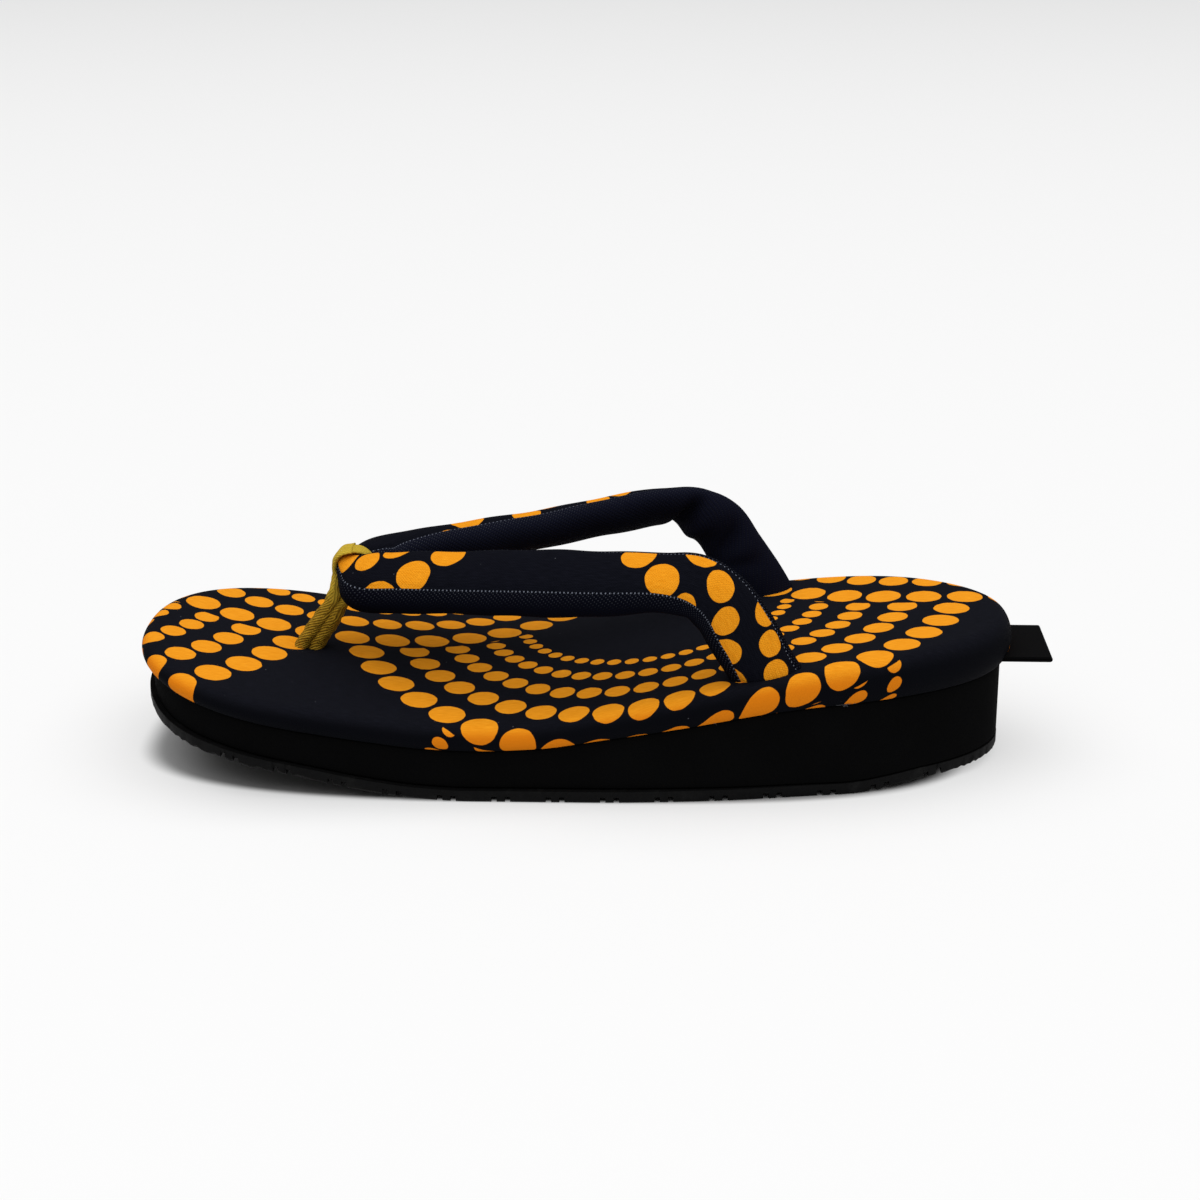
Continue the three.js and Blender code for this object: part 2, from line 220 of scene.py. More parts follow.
# %% Footbed shape
STATIONS = 200
ROLL_INSET, ROLL_WIDEST = 4.7, 0.55
RIM_INSET, RIM_TURN = 2.4, np.radians(60)
# along, across, depth, reach along, reach across
THONG_DIP = (45.5, 0.0, 1.2, 6, 5)
STRAP_DIP = (177.5, 35.0, 0.9, 11, 8)
RING_TURN = np.append(np.arange(2 * STATIONS), 0) / STATIONS * np.pi


def outline_ring(inset):
    """The plan outline at an inset, from the toe along the near side to the heel and back along the far side. Every
    ring is the full outline drawn in towards the middle line, so it keeps the outline's character."""
    full = LENGTH / 2 * (1 - np.cos(RING_TURN))
    along = inset + full * (1 - 2 * inset / LENGTH)
    half = plan_half(full) * (1 - inset / MEAN_HALF)
    return along, np.where(RING_TURN < np.pi, -half, half)


def dip(along, across, middle_along, middle_across, deep, reach_along, reach_across):
    """A soft hollow: one bell along times one bell across."""
    return deep * hump(along, middle_along, reach_along) * hump(across, middle_across, reach_across)


def footbed_relief(along, across, inset):
    """Heights over the plain top: the crown, as a parabola from the roll to the middle line, and dips where thong and
    strap go in."""
    out = np.minimum((MEAN_HALF - inset) / (MEAN_HALF - ROLL_INSET), 1)
    relief = crown_rise(along) * (1 - out ** 2)
    return relief - dip(along, across, *THONG_DIP) - dip(along, np.abs(across), *STRAP_DIP)


tuck = np.linspace(RIM_TURN, 0, 8)
roll = np.linspace(0, np.pi / 2, 17)[1:]
under_inset = np.array([MEAN_HALF, 30, 15, 6])
top_inset = np.linspace(ROLL_INSET, MEAN_HALF, 30)[1:]
tuck_inset = RIM_INSET * (1 - np.cos(tuck)) / (1 - np.cos(RIM_TURN))
tuck_share = ROLL_WIDEST + (1 - ROLL_WIDEST) * np.sin(tuck) / np.sin(RIM_TURN)
level_inset = np.concatenate([under_inset, tuck_inset, ROLL_INSET * (1 - np.cos(roll)), top_inset])
roll_share = ROLL_WIDEST * (1 - np.sin(roll))
level_share = np.concatenate([np.ones(len(under_inset)), tuck_share, roll_share, np.zeros(len(top_inset))])
below_roll = len(under_inset) + len(tuck)
level_is_top = np.concatenate([np.zeros(below_roll), np.sin(roll) ** 6, np.ones(len(top_inset))])
rings = np.array([outline_ring(inset) for inset in level_inset])
along, across = rings[:, 0], rings[:, 1]
relief = footbed_relief(along, across, level_inset[:, None]) * level_is_top[:, None]
height = top_height(along) - level_share[:, None] * edge_height(along) + relief
footbed_points = np.stack([TOE_X + along, across, height], axis=-1)
print("footbed:", len(level_inset), "rings of", len(RING_TURN), "points")

# %% [markdown]
# The footbed's UV map is the flat cloth: along the top's own length, then past the roll counted along the skin. An
# unwrap would not know how the cloth was pulled. Here its pull and slip are curves along the foot, set until the
# dots lie where they should: most of it at the near side of the heel.

# %% Footbed cloth
CLOTH_START = 125
# where the edge share passes this range, the footbed counts as wall, whose colours get painted shade
WALL_SHADE_FADE = (0.02, 0.4)
cloth_pull = column_curve([10, 60, 105, 150, 240], [-0.05, 0.0, 0.015, 0.05, 0.055])
near_pull = column_curve([140, 165, 180, 205, 250], [0, 0.08, 0.14, 0.09, 0.06])
slip_along = column_curve([110, 180, 250], [0, 1.1, 1.4])
slip_across = column_curve([100, 150, 190, 250], [0, -0.5, -1.4, -1.4])
cloth_skew = column_curve([100, 180], [0.025, 0.045])
middle = np.linspace(0, LENGTH, 501)
middle_step = np.hypot(np.diff(middle), np.diff(top_height(middle) + crown_rise(middle)))
middle_run = run_along(middle_step)
middle_run = middle_run + CLOTH_START - np.interp(CLOTH_START, middle, middle_run)

roll_top = below_roll + len(roll) - 1
skin_step = np.linalg.norm(np.diff(footbed_points[: roll_top + 1], axis=0), axis=2)
past_roll = np.concatenate([np.cumsum(skin_step[::-1], axis=0)[::-1], np.zeros((1, skin_step.shape[1]))])
rim = np.array(outline_ring(0.0))
turn_line = np.array(outline_ring(ROLL_INSET))
outward = (rim - turn_line) / np.maximum(np.linalg.norm(rim - turn_line, axis=0), 1e-6)
cloth_along = np.interp(along, middle, middle_run) + slip_along(along) + cloth_skew(along) * across
cloth_across = across * (1 + cloth_pull(along) + np.where(across < 0, near_pull(along), 0)) + slip_across(along)
cloth_along[: roll_top + 1] = cloth_along[roll_top] + outward[0] * past_roll
cloth_across[: roll_top + 1] = cloth_across[roll_top] + outward[1] * past_roll
footbed_cloth = np.stack([cloth_along, cloth_across], axis=-1) * MM
# Mask of the pad's wall: there the cloth's colours are painted darker, as shade.
footbed_wall_shade = smooth_step(*WALL_SHADE_FADE, level_share)[:, None] * np.ones_like(along)
footbed = skin("footbed_pad", footbed_points, footbed_cloth, {"wall": footbed_wall_shade})
finish_piece(footbed, ["footbed"])

# %% [markdown]
# Under the pad lies a wedge of black foam, and under that a thin rubber sole. The foam is cut and ground, so its side
# is plain with just broken edges. It could be kept as the solid, but the solid's flats would show along the curve, so
# the same rings are drawn finer.

# %% Midsole shape
MIDSOLE_INSET = 2.9
MIDSOLE_EDGE = 0.5


def midsole_levels():
    """Inset, share of the height and rise over that height for each ring, from the bottom's middle to the top's."""
    bevel = MIDSOLE_EDGE * (1 - np.sin(np.linspace(0, np.pi / 2, 4)))
    side = np.linspace(0, 1, 9)[1:-1]
    middle = np.array([MEAN_HALF, 25, 14, 10, 7, 5])
    flat, end = np.zeros(len(middle)), np.ones(len(middle) + len(bevel))
    edge = MIDSOLE_INSET + np.concatenate([bevel, np.zeros(len(side)), bevel[::-1]])
    inset = np.concatenate([middle, edge, middle[::-1]])
    share = np.concatenate([0 * end, side, end])
    rise = np.concatenate([flat, bevel[::-1], np.zeros(len(side)), -bevel, flat])
    return inset, share, rise


inset, share, rise = midsole_levels()
rings = np.array([outline_ring(value) for value in inset])
along, across = rings[:, 0], rings[:, 1]
low = under_height(along) + OUTSOLE_THICKNESS + GAP
high = top_height(along) - edge_height(along) - GAP
height = low + (high - low) * share[:, None] + rise[:, None]
midsole = skin("midsole_wedge", np.stack([TOE_X + along, across, height], axis=-1))
finish_piece(midsole, ["midsole"])

# %% [markdown]
# The rubber sole has cross grooves in pairs, which show as notches along its edge. Cutting them with a boolean would
# work, but a loft is cleaner: the same short section is set at many places along the foot, and at a groove's two
# walls two sections stand at the same place with different undersides.

# %% Outsole shape
OUTSOLE_INSET, HEEL_INSET, OUTSOLE_CHAMFER = 1.6, 2.8, 0.6
GROOVE_FIRST, GROOVE_PAIRS, GROOVE_PITCH, GROOVE_SPREAD = 29.7, 14, 15.3, 3.8
GROOVE_WIDTH, GROOVE_DEPTH = 1.5, 1.7
# the heel's inset grows over these places, and these are where toe and heel leave the floor
HEEL_TAPER, TOE_LIFT, HEEL_LIFT = (130, 215), (45, 75), (212, 232)
# height in mm, radians to the mm of its two waves, and the least half width that has it
LUMP, LUMP_WAVE, LUMP_BEAT, LUMP_HALF = 0.5, 4.1, 1.7, 3
SECTIONS, WALL_CLEAR, SOLE_SHARP = 161, 0.15, np.radians(35)

pair_middle = GROOVE_FIRST + GROOVE_PITCH * np.arange(GROOVE_PAIRS)
groove_middle = np.sort(np.concatenate([pair_middle - GROOVE_SPREAD / 2, pair_middle + GROOVE_SPREAD / 2]))
walls = np.stack([groove_middle - GROOVE_WIDTH / 2, groove_middle + GROOVE_WIDTH / 2], axis=1).ravel()
even = LENGTH / 2 * (1 - np.cos(np.linspace(0, np.pi, SECTIONS)))
clear = np.min(np.abs(even[:, None] - walls[None, :]), axis=1) > WALL_CLEAR
outside = np.stack([walls, walls], axis=1).ravel()
outside_depth = np.tile([0.0, 1.0, 1.0, 0.0], len(groove_middle))
full = np.concatenate([even[clear], outside])
in_groove = np.min(np.abs(even[clear][:, None] - groove_middle[None, :]), axis=1) < GROOVE_WIDTH / 2
depth = np.concatenate([in_groove.astype(float), outside_depth]) * GROOVE_DEPTH
order = np.lexsort((np.concatenate([np.zeros(clear.sum()), np.tile([0, 1, 2, 3], len(groove_middle))]), full))
full, depth = full[order], depth[order]


def outsole_section(full, depth):
    """Six points round the section at each place, and the first again: the flat top, two sides, two chamfers and the
    underside, which a groove lifts by its depth. Where the sole curls up at toe and heel, the cast tread makes the
    lower edge lumpy."""
    along = OUTSOLE_INSET + full * (1 - (OUTSOLE_INSET + HEEL_INSET) / LENGTH)
    inset = OUTSOLE_INSET + (HEEL_INSET - OUTSOLE_INSET) * smooth_step(*HEEL_TAPER, along)
    half = plan_half(full) * (1 - inset / MEAN_HALF)
    bevel = np.minimum(OUTSOLE_CHAMFER, half)
    low = under_height(along)
    top = low + OUTSOLE_THICKNESS
    lifted = 1 - smooth_step(*TOE_LIFT, along) + smooth_step(*HEEL_LIFT, along)
    lump = LUMP * lifted * np.sin(LUMP_WAVE * along) * np.sin(LUMP_BEAT * along + 1)
    foot = low + depth + np.abs(lump)
    knee = foot + OUTSOLE_CHAMFER * (1 - depth / GROOVE_DEPTH) + lump
    edge = half + lump * (half > LUMP_HALF)
    across = np.stack([-half, half, edge, half - bevel, bevel - half, -edge, -half], axis=1)
    up = np.stack([top, top, knee, foot, foot, knee, top], axis=1)
    return np.stack(np.broadcast_arrays(TOE_X + along[:, None], across, up), axis=-1)


section = outsole_section(full, depth)
ends = section[[0, -1]].mean(axis=1, keepdims=True).repeat(section.shape[1], axis=1)
outsole = skin("outsole_sheet", np.concatenate([ends[:1], section, ends[1:]]))
outsole.data.set_sharp_from_angle(angle=SOLE_SHARP)
finish_piece(outsole, ["outsole"])

# %% [markdown]
# The strap is one stuffed tube: it comes up out of the footbed on the far side, bends round at the toe and goes down
# again on the near side. A curve object with a bevel would give a round tube, but this one is a flat oval that turns
# over as it goes, so the oval is carried along the path with its own lean, width and thickness at each step. The near
# half sags a little, and the far half lies further out and turns over more near the bend.

# %% Strap path
# along, across, up, lean in degrees, width, thickness, from the bend to the end
STRAP = np.array([
    (61.4, 0, 52, 32, 8.6, 9.8), (64.2, 4.8, 51.2, 34, 16.4, 11.4), (68.2, 9.6, 51.3, 34, 19.8, 11.9),
    (78, 13.8, 53, 33, 20.4, 11.8), (108, 22, 56.8, 32, 20.6, 11.6), (134, 29.2, 59.6, 33, 20, 10.8),
    (150, 33.2, 61, 38, 18.8, 9.2), (159, 34.8, 60.1, 52, 18.2, 10), (166, 35.2, 55.4, 67, 18.2, 11.4),
    (171.5, 35.2, 47.2, 78, 18.6, 12.2), (177, 35, 37.5, 86, 19, 12.4), (180.5, 35, 31.5, 88, 19, 12.2),
])
# what the far half adds to across and up and takes off the lean, row by row
FAR_OUT = np.array([0, 1.0, 2.0, 1.5, 0.5, 0, 0, 0, 0, 0, 0, 0])
FAR_LIFT = np.array([0, 0.4, 1.0, 0.2, -0.8, 0.3, 0.4, 0, 0, 0, 0, 0])
FAR_TURN = np.array([0, 10, 24, 14, 6, 1, 0, 0, 0, 0, 0, 0])
# how much, the middle along and the reach
NEAR_SAG, NEAR_SWELL = (1.5, 128, 36), (2.0, 122, 30)
NOSE_PUFF = 1.1
STRAP_SIDES, STRAP_STEP = 72, 0.9


def smooth_path(knots, step):
    """A curve through the knots whose speed follows the square root of the chord between them, so that it makes no
    loops. Gives evenly spaced points, and at each point the tangent, the knot number and the length run so far."""
    knots = np.vstack([2 * knots[0] - knots[1], knots, 2 * knots[-1] - knots[-2]])
    chord = np.sqrt(np.linalg.norm(np.diff(knots, axis=0), axis=1))
    before, here, after = chord[:-2, None], chord[1:-1, None], chord[2:, None]
    p0, p1, p2, p3 = knots[:-3], knots[1:-2], knots[2:-1], knots[3:]
    leave = ((p1 - p0) / before - (p2 - p0) / (before + here) + (p2 - p1) / here) * here
    arrive = ((p2 - p1) / here - (p3 - p1) / (here + after) + (p3 - p2) / after) * here
    t = np.linspace(0, 1, 40, endpoint=False)[None, :, None]
    cubic = (2 * p1 - 2 * p2 + leave + arrive)[:, None] * t ** 3
    square = (3 * p2 - 3 * p1 - 2 * leave - arrive)[:, None] * t ** 2
    fine = (cubic + square + leave[:, None] * t + p1[:, None]).reshape(-1, knots.shape[1])
    fine = np.vstack([fine, knots[-2]])
    number = np.append((np.arange(len(p1))[:, None] + t[0, :, 0]).ravel(), len(p1))
    length = run_along(np.linalg.norm(np.diff(fine, axis=0), axis=1))
    even = np.linspace(0, length[-1], int(length[-1] / step) + 1)
    points = np.stack([np.interp(even, length, column) for column in fine.T], axis=1)
    tangent = np.gradient(points, even, axis=0)
    tangent = tangent / np.linalg.norm(tangent, axis=1, keepdims=True)
    return points, tangent, np.interp(even, length, number), even


near_side, far_side = STRAP.copy(), STRAP.copy()
near_side[:, 2] -= NEAR_SAG[0] * hump(STRAP[:, 0], *NEAR_SAG[1:])
near_side[:, 4] += NEAR_SWELL[0] * hump(STRAP[:, 0], *NEAR_SWELL[1:])
far_side[:, 1] += FAR_OUT
far_side[:, 2] += FAR_LIFT
far_side[:, 3] -= FAR_TURN
far_side[:, 1] *= -1
near_side[0, 0] -= NOSE_PUFF
near_side[1, 0] -= NOSE_PUFF / 2
far_side[1, 0] -= NOSE_PUFF / 2
strap_rows = np.vstack([far_side[:0:-1], near_side])
strap_knots = np.stack([TOE_X + strap_rows[:, 0], -strap_rows[:, 1], strap_rows[:, 2]], axis=1)
strap_centre, strap_tangent, strap_number, strap_length = smooth_path(strap_knots, STRAP_STEP)
strap_lean, strap_width, strap_thick = (
    column_curve(np.arange(len(strap_rows)), strap_rows[:, k])(strap_number) for k in (3, 4, 5))
strap_lean = np.radians(strap_lean)
print("strap runs", round(strap_length[-1], 1), "mm from footbed to footbed in", len(strap_length), "steps")

# %% [markdown]
# Two seams run along the strap, one on the outer and one on the inner shoulder. Between them lies the printed cotton,
# and under them denim. Stuffing swells each panel and the seams pull in, so every seam is a narrow trough. Where the
# strap turns down, the denim side is pressed together and folds. A cloth simulation could fold it somewhere, but
# creases listed in the strap's own sizes lie where they should.

# %% Strap shape
SEAM_DEPTH, SEAM_REACH = 0.45, np.radians(6)
PRINT_COLUMN = 21
# height in mm, radians to the mm and sway round the oval of the slow lumps, and how far from the bend they set in
LONG_LUMP, SHORT_LUMP, LUMPS_FROM = (0.22, 0.115, 0.6), (0.14, 0.31, 2), (4, 14)
# of a crease's depth and reach: the height, the distance and the reach of the ridge beyond it
RIDGE_HEIGHT, RIDGE_AWAY, RIDGE_REACH = 0.45, 2.7, 1.7
strap_half = strap_length[-1] / 2
from_bend = strap_length - strap_half
outer_angle = column_curve([0, 95, 125, 165], [53, 53, 43, 43])
outer_seam = np.radians(outer_angle(np.abs(from_bend)))[:, None]
inner_angle = column_curve([-40, 10], [137, 152])
inner_seam = np.radians(inner_angle(from_bend))[:, None]

strap_side = np.cross(strap_tangent, (0.0, 0.0, 1.0))
strap_side /= np.linalg.norm(strap_side, axis=1, keepdims=True)
strap_up = np.cross(strap_side, strap_tangent)
lean_cos, lean_sin = np.cos(strap_lean)[:, None], np.sin(strap_lean)[:, None]
strap_wide = strap_side * lean_cos - strap_up * lean_sin
strap_thin = strap_side * lean_sin + strap_up * lean_cos

# place from the bend in mm (minus is the far side), angle on the oval, reach along, reach round, depth, slant in mm
# for each radian round the oval
STRAP_CREASES = [
    (108, 300, 3.0, 50, 1.6, 1.5), (120, 285, 2.6, 40, 0.8, 0), (101, 262, 2.4, 34, 0.5, 0),
    (-104.5, 275, 2.6, 76, 4.0, 2.2), (-121, 250, 2.4, 48, 2.2, -4.0), (-129, 268, 2.4, 40, 0.9, 2.0),
]


def angle_gap(angle, other):
    """The shorter way round from one angle to another."""
    return (angle - other + np.pi) % (2 * np.pi) - np.pi


def strap_swell(place, angle):
    """How far the skin stands off the plain oval: slow lumps of stuffing, a trough at each seam, and the creases, each
    a soft trough with a low ridge beyond it."""
    lumps = LONG_LUMP[0] * np.sin(place * LONG_LUMP[1] + LONG_LUMP[2] * np.sin(angle))
    lumps = lumps + SHORT_LUMP[0] * np.sin(place * SHORT_LUMP[1] + SHORT_LUMP[2] * angle)
    swell = lumps * smooth_step(*LUMPS_FROM, np.abs(place))
    for seam in (outer_seam, inner_seam):
        swell = swell - SEAM_DEPTH * hump(angle_gap(angle, seam), 0, SEAM_REACH)
    for middle, round_at, reach, round_reach, deep, slant in STRAP_CREASES:
        gap = angle_gap(angle, np.radians(round_at))
        line = place - middle - slant * gap
        ridge = RIDGE_HEIGHT * hump(line, np.sign(middle) * RIDGE_AWAY * reach, RIDGE_REACH * reach)
        swell = swell + deep * hump(np.degrees(gap), 0, round_reach) * (ridge - hump(line, 0, reach))
    return swell


theta = np.linspace(0, 2 * np.pi, STRAP_SIDES + 1)[None, :]
place = np.repeat(from_bend[:, None], STRAP_SIDES + 1, axis=1)
swell = strap_swell(place, theta)
radius_wide = strap_width[:, None] / 2 + swell
radius_thin = strap_thick[:, None] / 2 + swell
strap_points = (
    strap_centre[:, None, :]
    + (radius_wide * np.cos(theta))[..., None] * strap_wide[:, None, :]
    + (radius_thin * np.sin(theta))[..., None] * strap_thin[:, None, :]
)
girth = run_along(np.linalg.norm(np.diff(strap_points, axis=1), axis=2))
seam_girth = np.array([np.interp(seam, theta[0], row) for seam, row in zip(outer_seam[:, 0], girth)])
print_line = strap_points[:, PRINT_COLUMN]
print_run = run_along(np.linalg.norm(np.diff(print_line, axis=0), axis=1))
print_run = print_run - np.interp(strap_half, strap_length, print_run)
print_place = np.repeat(print_run[:, None], STRAP_SIDES + 1, axis=1)
strap_cloth = np.stack([print_place, girth - seam_girth[:, None]], axis=-1) * MM
outer_gap = angle_gap(theta, outer_seam)
inner_gap = angle_gap(theta, inner_seam)
seam_mm = np.minimum(np.abs(outer_gap), np.abs(inner_gap)) * (strap_width[:, None] + strap_thick[:, None]) / 4
on_print = (outer_gap > 0) & (inner_gap < 0)
strap_seam = np.where(on_print, seam_mm, -seam_mm) * MM
strap = skin("strap_tube", capped(strap_points), capped_rows(strap_cloth), {"seam": capped_rows(strap_seam)})
finish_piece(strap, ["strap"])

# %% [markdown]
# The thong is a strip of mustard twill rolled lengthwise. It comes up through one hole as two plump legs side by side,
# narrows, and wraps the strap's bend from the front and from behind. A curve with a bevel would keep one section. Here
# each leg is a tube in the middle plane, whose section is wide where it swells and thin where it is drawn tight.

# %% Thong path
# along, up, width, thickness of the rising part, then angle on the bend's oval, width, thickness of the wrap
FRONT_RISE = [(43.6, 26.4, 6.6, 3.6), (46.4, 30.6, 7, 4.2), (51, 37, 7.2, 4.7), (54.2, 41.7, 6, 4.4)]
FRONT_WRAP = [(14, 3.8, 2.2), (38, 4.6, 1.8), (64, 7, 1.8), (92, 8.8, 1.8), (120, 8.4, 1.7)]
BACK_RISE = [(47.7, 25.6, 6.6, 3.8), (49.9, 29.8, 7, 4.5), (54, 36.4, 7.2, 4.9), (57.4, 41.6, 5.6, 3.4)]
BACK_WRAP = [(300, 4.6, 1.8), (265, 4.2, 1.6), (225, 4, 1.6), (180, 4.2, 1.6), (145, 5.6, 1.6), (110, 7, 1.5)]
THONG_SIDES, THONG_STEP = 36, 0.45
# height in mm, radians to the mm along, waves round; they fade where the cloth is thinner than this
WRINKLES, WRINKLE_FULL = ((0.12, 1.1, 3), (0.08, 2.3, -2)), 4.0


def wrap_rows(wrap):
    """Rows of a wrap in the middle plane: the point of the bend's oval at each angle, pushed out along the oval's
    normal by the gap and half the thickness of the cloth."""
    angle, width, thick = np.array(wrap, float).T
    bend_along, _, bend_up, lean, bend_width, bend_thick = STRAP[0]
    lean, turn = np.radians(lean), np.radians(angle)
    wide = np.array([-np.cos(lean), -np.sin(lean)]) * bend_width / 2
    thin = np.array([-np.sin(lean), np.cos(lean)]) * bend_thick / 2
    cos, sin = np.cos(turn)[:, None], np.sin(turn)[:, None]
    normal = cos * wide / (wide @ wide) + sin * thin / (thin @ thin)
    normal = normal / np.linalg.norm(normal, axis=1, keepdims=True)
    place = np.array([bend_along, bend_up]) + cos * wide + sin * thin + normal * (2 * GAP + thick / 2)[:, None]
    return np.column_stack([place, width, thick])


def thong_leg(name, rise, wrap):
    """One leg as a tube: its path, a section that is a soft lens, and the UV map of the rolled strip."""
    rows = np.vstack([np.array(rise, float), wrap_rows(wrap)])
    knots = np.stack([TOE_X + rows[:, 0], np.zeros(len(rows)), rows[:, 1]], axis=1)
    centre, tangent, number, length = smooth_path(knots, THONG_STEP)
    width = column_curve(np.arange(len(rows)), rows[:, 2])(number)
    thick = column_curve(np.arange(len(rows)), rows[:, 3])(number)
    facing = np.cross(tangent, (0.0, 1.0, 0.0))
    facing /= np.linalg.norm(facing, axis=1, keepdims=True)
    turn = np.linspace(0, 2 * np.pi, THONG_SIDES + 1)[None, :]
    wrinkle = sum(high * np.sin(length[:, None] * rate + waves * turn) for high, rate, waves in WRINKLES)
    wrinkle = wrinkle * (np.minimum(thick, WRINKLE_FULL)[:, None] / WRINKLE_FULL)
    points = (
        centre[:, None, :]
        - ((width[:, None] / 2 + wrinkle) * np.cos(turn))[..., None] * np.array([0.0, 1.0, 0.0])
        + ((thick[:, None] / 2 + wrinkle) * np.sin(turn))[..., None] * facing[:, None, :]
    )
    round_length = run_along(np.linalg.norm(np.diff(points, axis=1), axis=2))
    cloth = np.stack([np.repeat(length[:, None], THONG_SIDES + 1, axis=1), round_length], axis=-1) * MM
    return skin(name, capped(points), capped_rows(cloth))


def join_pieces(name, pieces):
    """Several skins in one mesh, with their UV maps."""
    work = bmesh.new()
    for piece in pieces:
        work.from_mesh(piece.data)
    mesh = bpy.data.meshes.new(name)
    work.to_mesh(mesh)
    work.free()
    for piece in pieces:
        bpy.data.objects.remove(piece)
    return bpy.data.objects.new(name, mesh)


legs = [thong_leg("leg_front", FRONT_RISE, FRONT_WRAP), thong_leg("leg_back", BACK_RISE, BACK_WRAP)]
thong = join_pieces("toe_thong_roll", legs)
finish_piece(thong, ["toe_thong"])

# %% [markdown]
# At the heel a short piece of black ribbon is folded double and sewn into the pad's wall. A folded plane would have no
# thickness, so a hairpin profile with an outer and an inner line is carried across the ribbon's width. It is bare.

# %% Heel tag shape
TAG_SEAT, TAG_WIDTH, TAG_THICK, TAG_SLIT, TAG_UP = 9.0, 27.0, 1.5, 0.2, 31.5
TAG_ROWS, TAG_COLUMNS, FOLD_STEPS, TAG_SHARP = 41, 24, 13, np.radians(40)


def fold_line(offset, turn):
    """One line of the folded ribbon in the side view, at an offset from its middle: straight on one side, round the
    fold, and straight back on the other."""
    fold = LENGTH + TAG_REACH - TAG_THICK / 2
    run = np.linspace(LENGTH - TAG_SEAT, fold, TAG_COLUMNS)
    level = np.ones(TAG_COLUMNS - 1)
    along = np.concatenate([run[:-1], fold + offset * np.cos(turn), run[-2::-1]])
    up = np.concatenate([level * np.sin(turn[0]), np.sin(turn), level * np.sin(turn[-1])])
    return np.stack([along, TAG_UP + offset * up])


fold_turn = np.linspace(-np.pi / 2, np.pi / 2, FOLD_STEPS)
outer_line, inner_line = fold_line(TAG_THICK / 2, fold_turn), fold_line(TAG_SLIT / 2, fold_turn[::-1])
tag_loop = np.concatenate([outer_line, inner_line, outer_line[:, :1]], axis=1)
tag_across = np.linspace(-TAG_WIDTH / 2, TAG_WIDTH / 2, TAG_ROWS)[:, None]
tag_points = np.stack(np.broadcast_arrays(TOE_X + tag_loop[0], tag_across, tag_loop[1]), axis=-1)
loop_length = run_along(np.hypot(*np.diff(tag_loop, axis=1)))
tag_cloth = np.stack(np.broadcast_arrays(loop_length, tag_across), axis=-1) * MM


def ribbon_mesh(name, points, cloth):
    """The ribbon's skin with both ends closed by a strip between its outer and its inner line."""
    obj = skin(name, points, cloth)
    work = bmesh.new()
    work.from_mesh(obj.data)
    rim_edges = [edge for edge in work.edges if edge.is_boundary]
    bmesh.ops.holes_fill(work, edges=rim_edges)
    bmesh.ops.triangulate(work, faces=[face for face in work.faces if len(face.verts) > 4])
    bmesh.ops.recalc_face_normals(work, faces=work.faces)
    work.to_mesh(obj.data)
    work.free()
    obj.data.set_sharp_from_angle(angle=TAG_SHARP)
    return obj


tag = ribbon_mesh("heel_ribbon", tag_points, tag_cloth)
finish_piece(tag, ["heel_tag"])

# %% [markdown]
# A few grey threads have come loose where the cloth meets the foam, most of them at one place near the heel. A hair
# system would need a whole surface; here each thread is one short bent tube with three sides, all in one mesh.

# %% Loose threads
TUFT_ALONG, TUFT_SPREAD, TUFT_THREADS = 200, 1.7, 18
STRAY_RANGE, STRAY_THREADS = (100, 215), 5
THREAD_RADIUS, THREAD_STEPS, THREAD_OUT = 0.06, 6, 0.15

chance = np.random.default_rng(11)
tuft = chance.normal(TUFT_ALONG, TUFT_SPREAD, TUFT_THREADS)
thread_along = np.concatenate([tuft, chance.uniform(*STRAY_RANGE, STRAY_THREADS)])


def thread_vectors(along_spread, out_range, up_mean, up_spread):
    """A random vector for each thread: along the seam either way, out from it, and a little up or down."""
    count = len(thread_along)
    return np.stack([
        chance.normal(0, along_spread, count),
        chance.uniform(*out_range, count),
        chance.normal(up_mean, up_spread, count),
    ], axis=1)


thread_start = np.stack([
    TOE_X + thread_along,
    -plan_half(thread_along) * (1 - MIDSOLE_INSET / MEAN_HALF) - THREAD_OUT,
    top_height(thread_along) - edge_height(thread_along),
], axis=1)
thread_reach = thread_vectors(along_spread=1.8, out_range=(-0.6, -0.2), up_mean=0.1, up_spread=0.22)
thread_curl = thread_vectors(along_spread=0.5, out_range=(-0.4, 0), up_mean=0.2, up_spread=0.2)
run = np.linspace(0, 1, THREAD_STEPS)[None, :, None]
thread_path = thread_start[:, None] + thread_reach[:, None] * run + thread_curl[:, None] * np.sin(np.pi * run)
turn = np.radians([0, 120, 240, 360])[None, None, :, None]
ring = THREAD_RADIUS * (np.cos(turn) * np.array([0.0, 1.0, 0.0]) + np.sin(turn) * np.array([0.3, 0.0, 1.0]))
thread_grids = thread_path[:, :, None] + ring
threads = join_pieces("loose_threads", [skin("thread", capped(grid)) for grid in thread_grids])
finish_piece(threads)

# %% [markdown]
# Materials come now. Their shared effects are shader node groups with named sockets, so the same print and the same
# weave can be placed in more than one cloth. Nodes could be wired one by one, with several lines for each. Here a small
# class holds one node tree and adds a node in one line: it joins what goes in, and gives back what comes out.

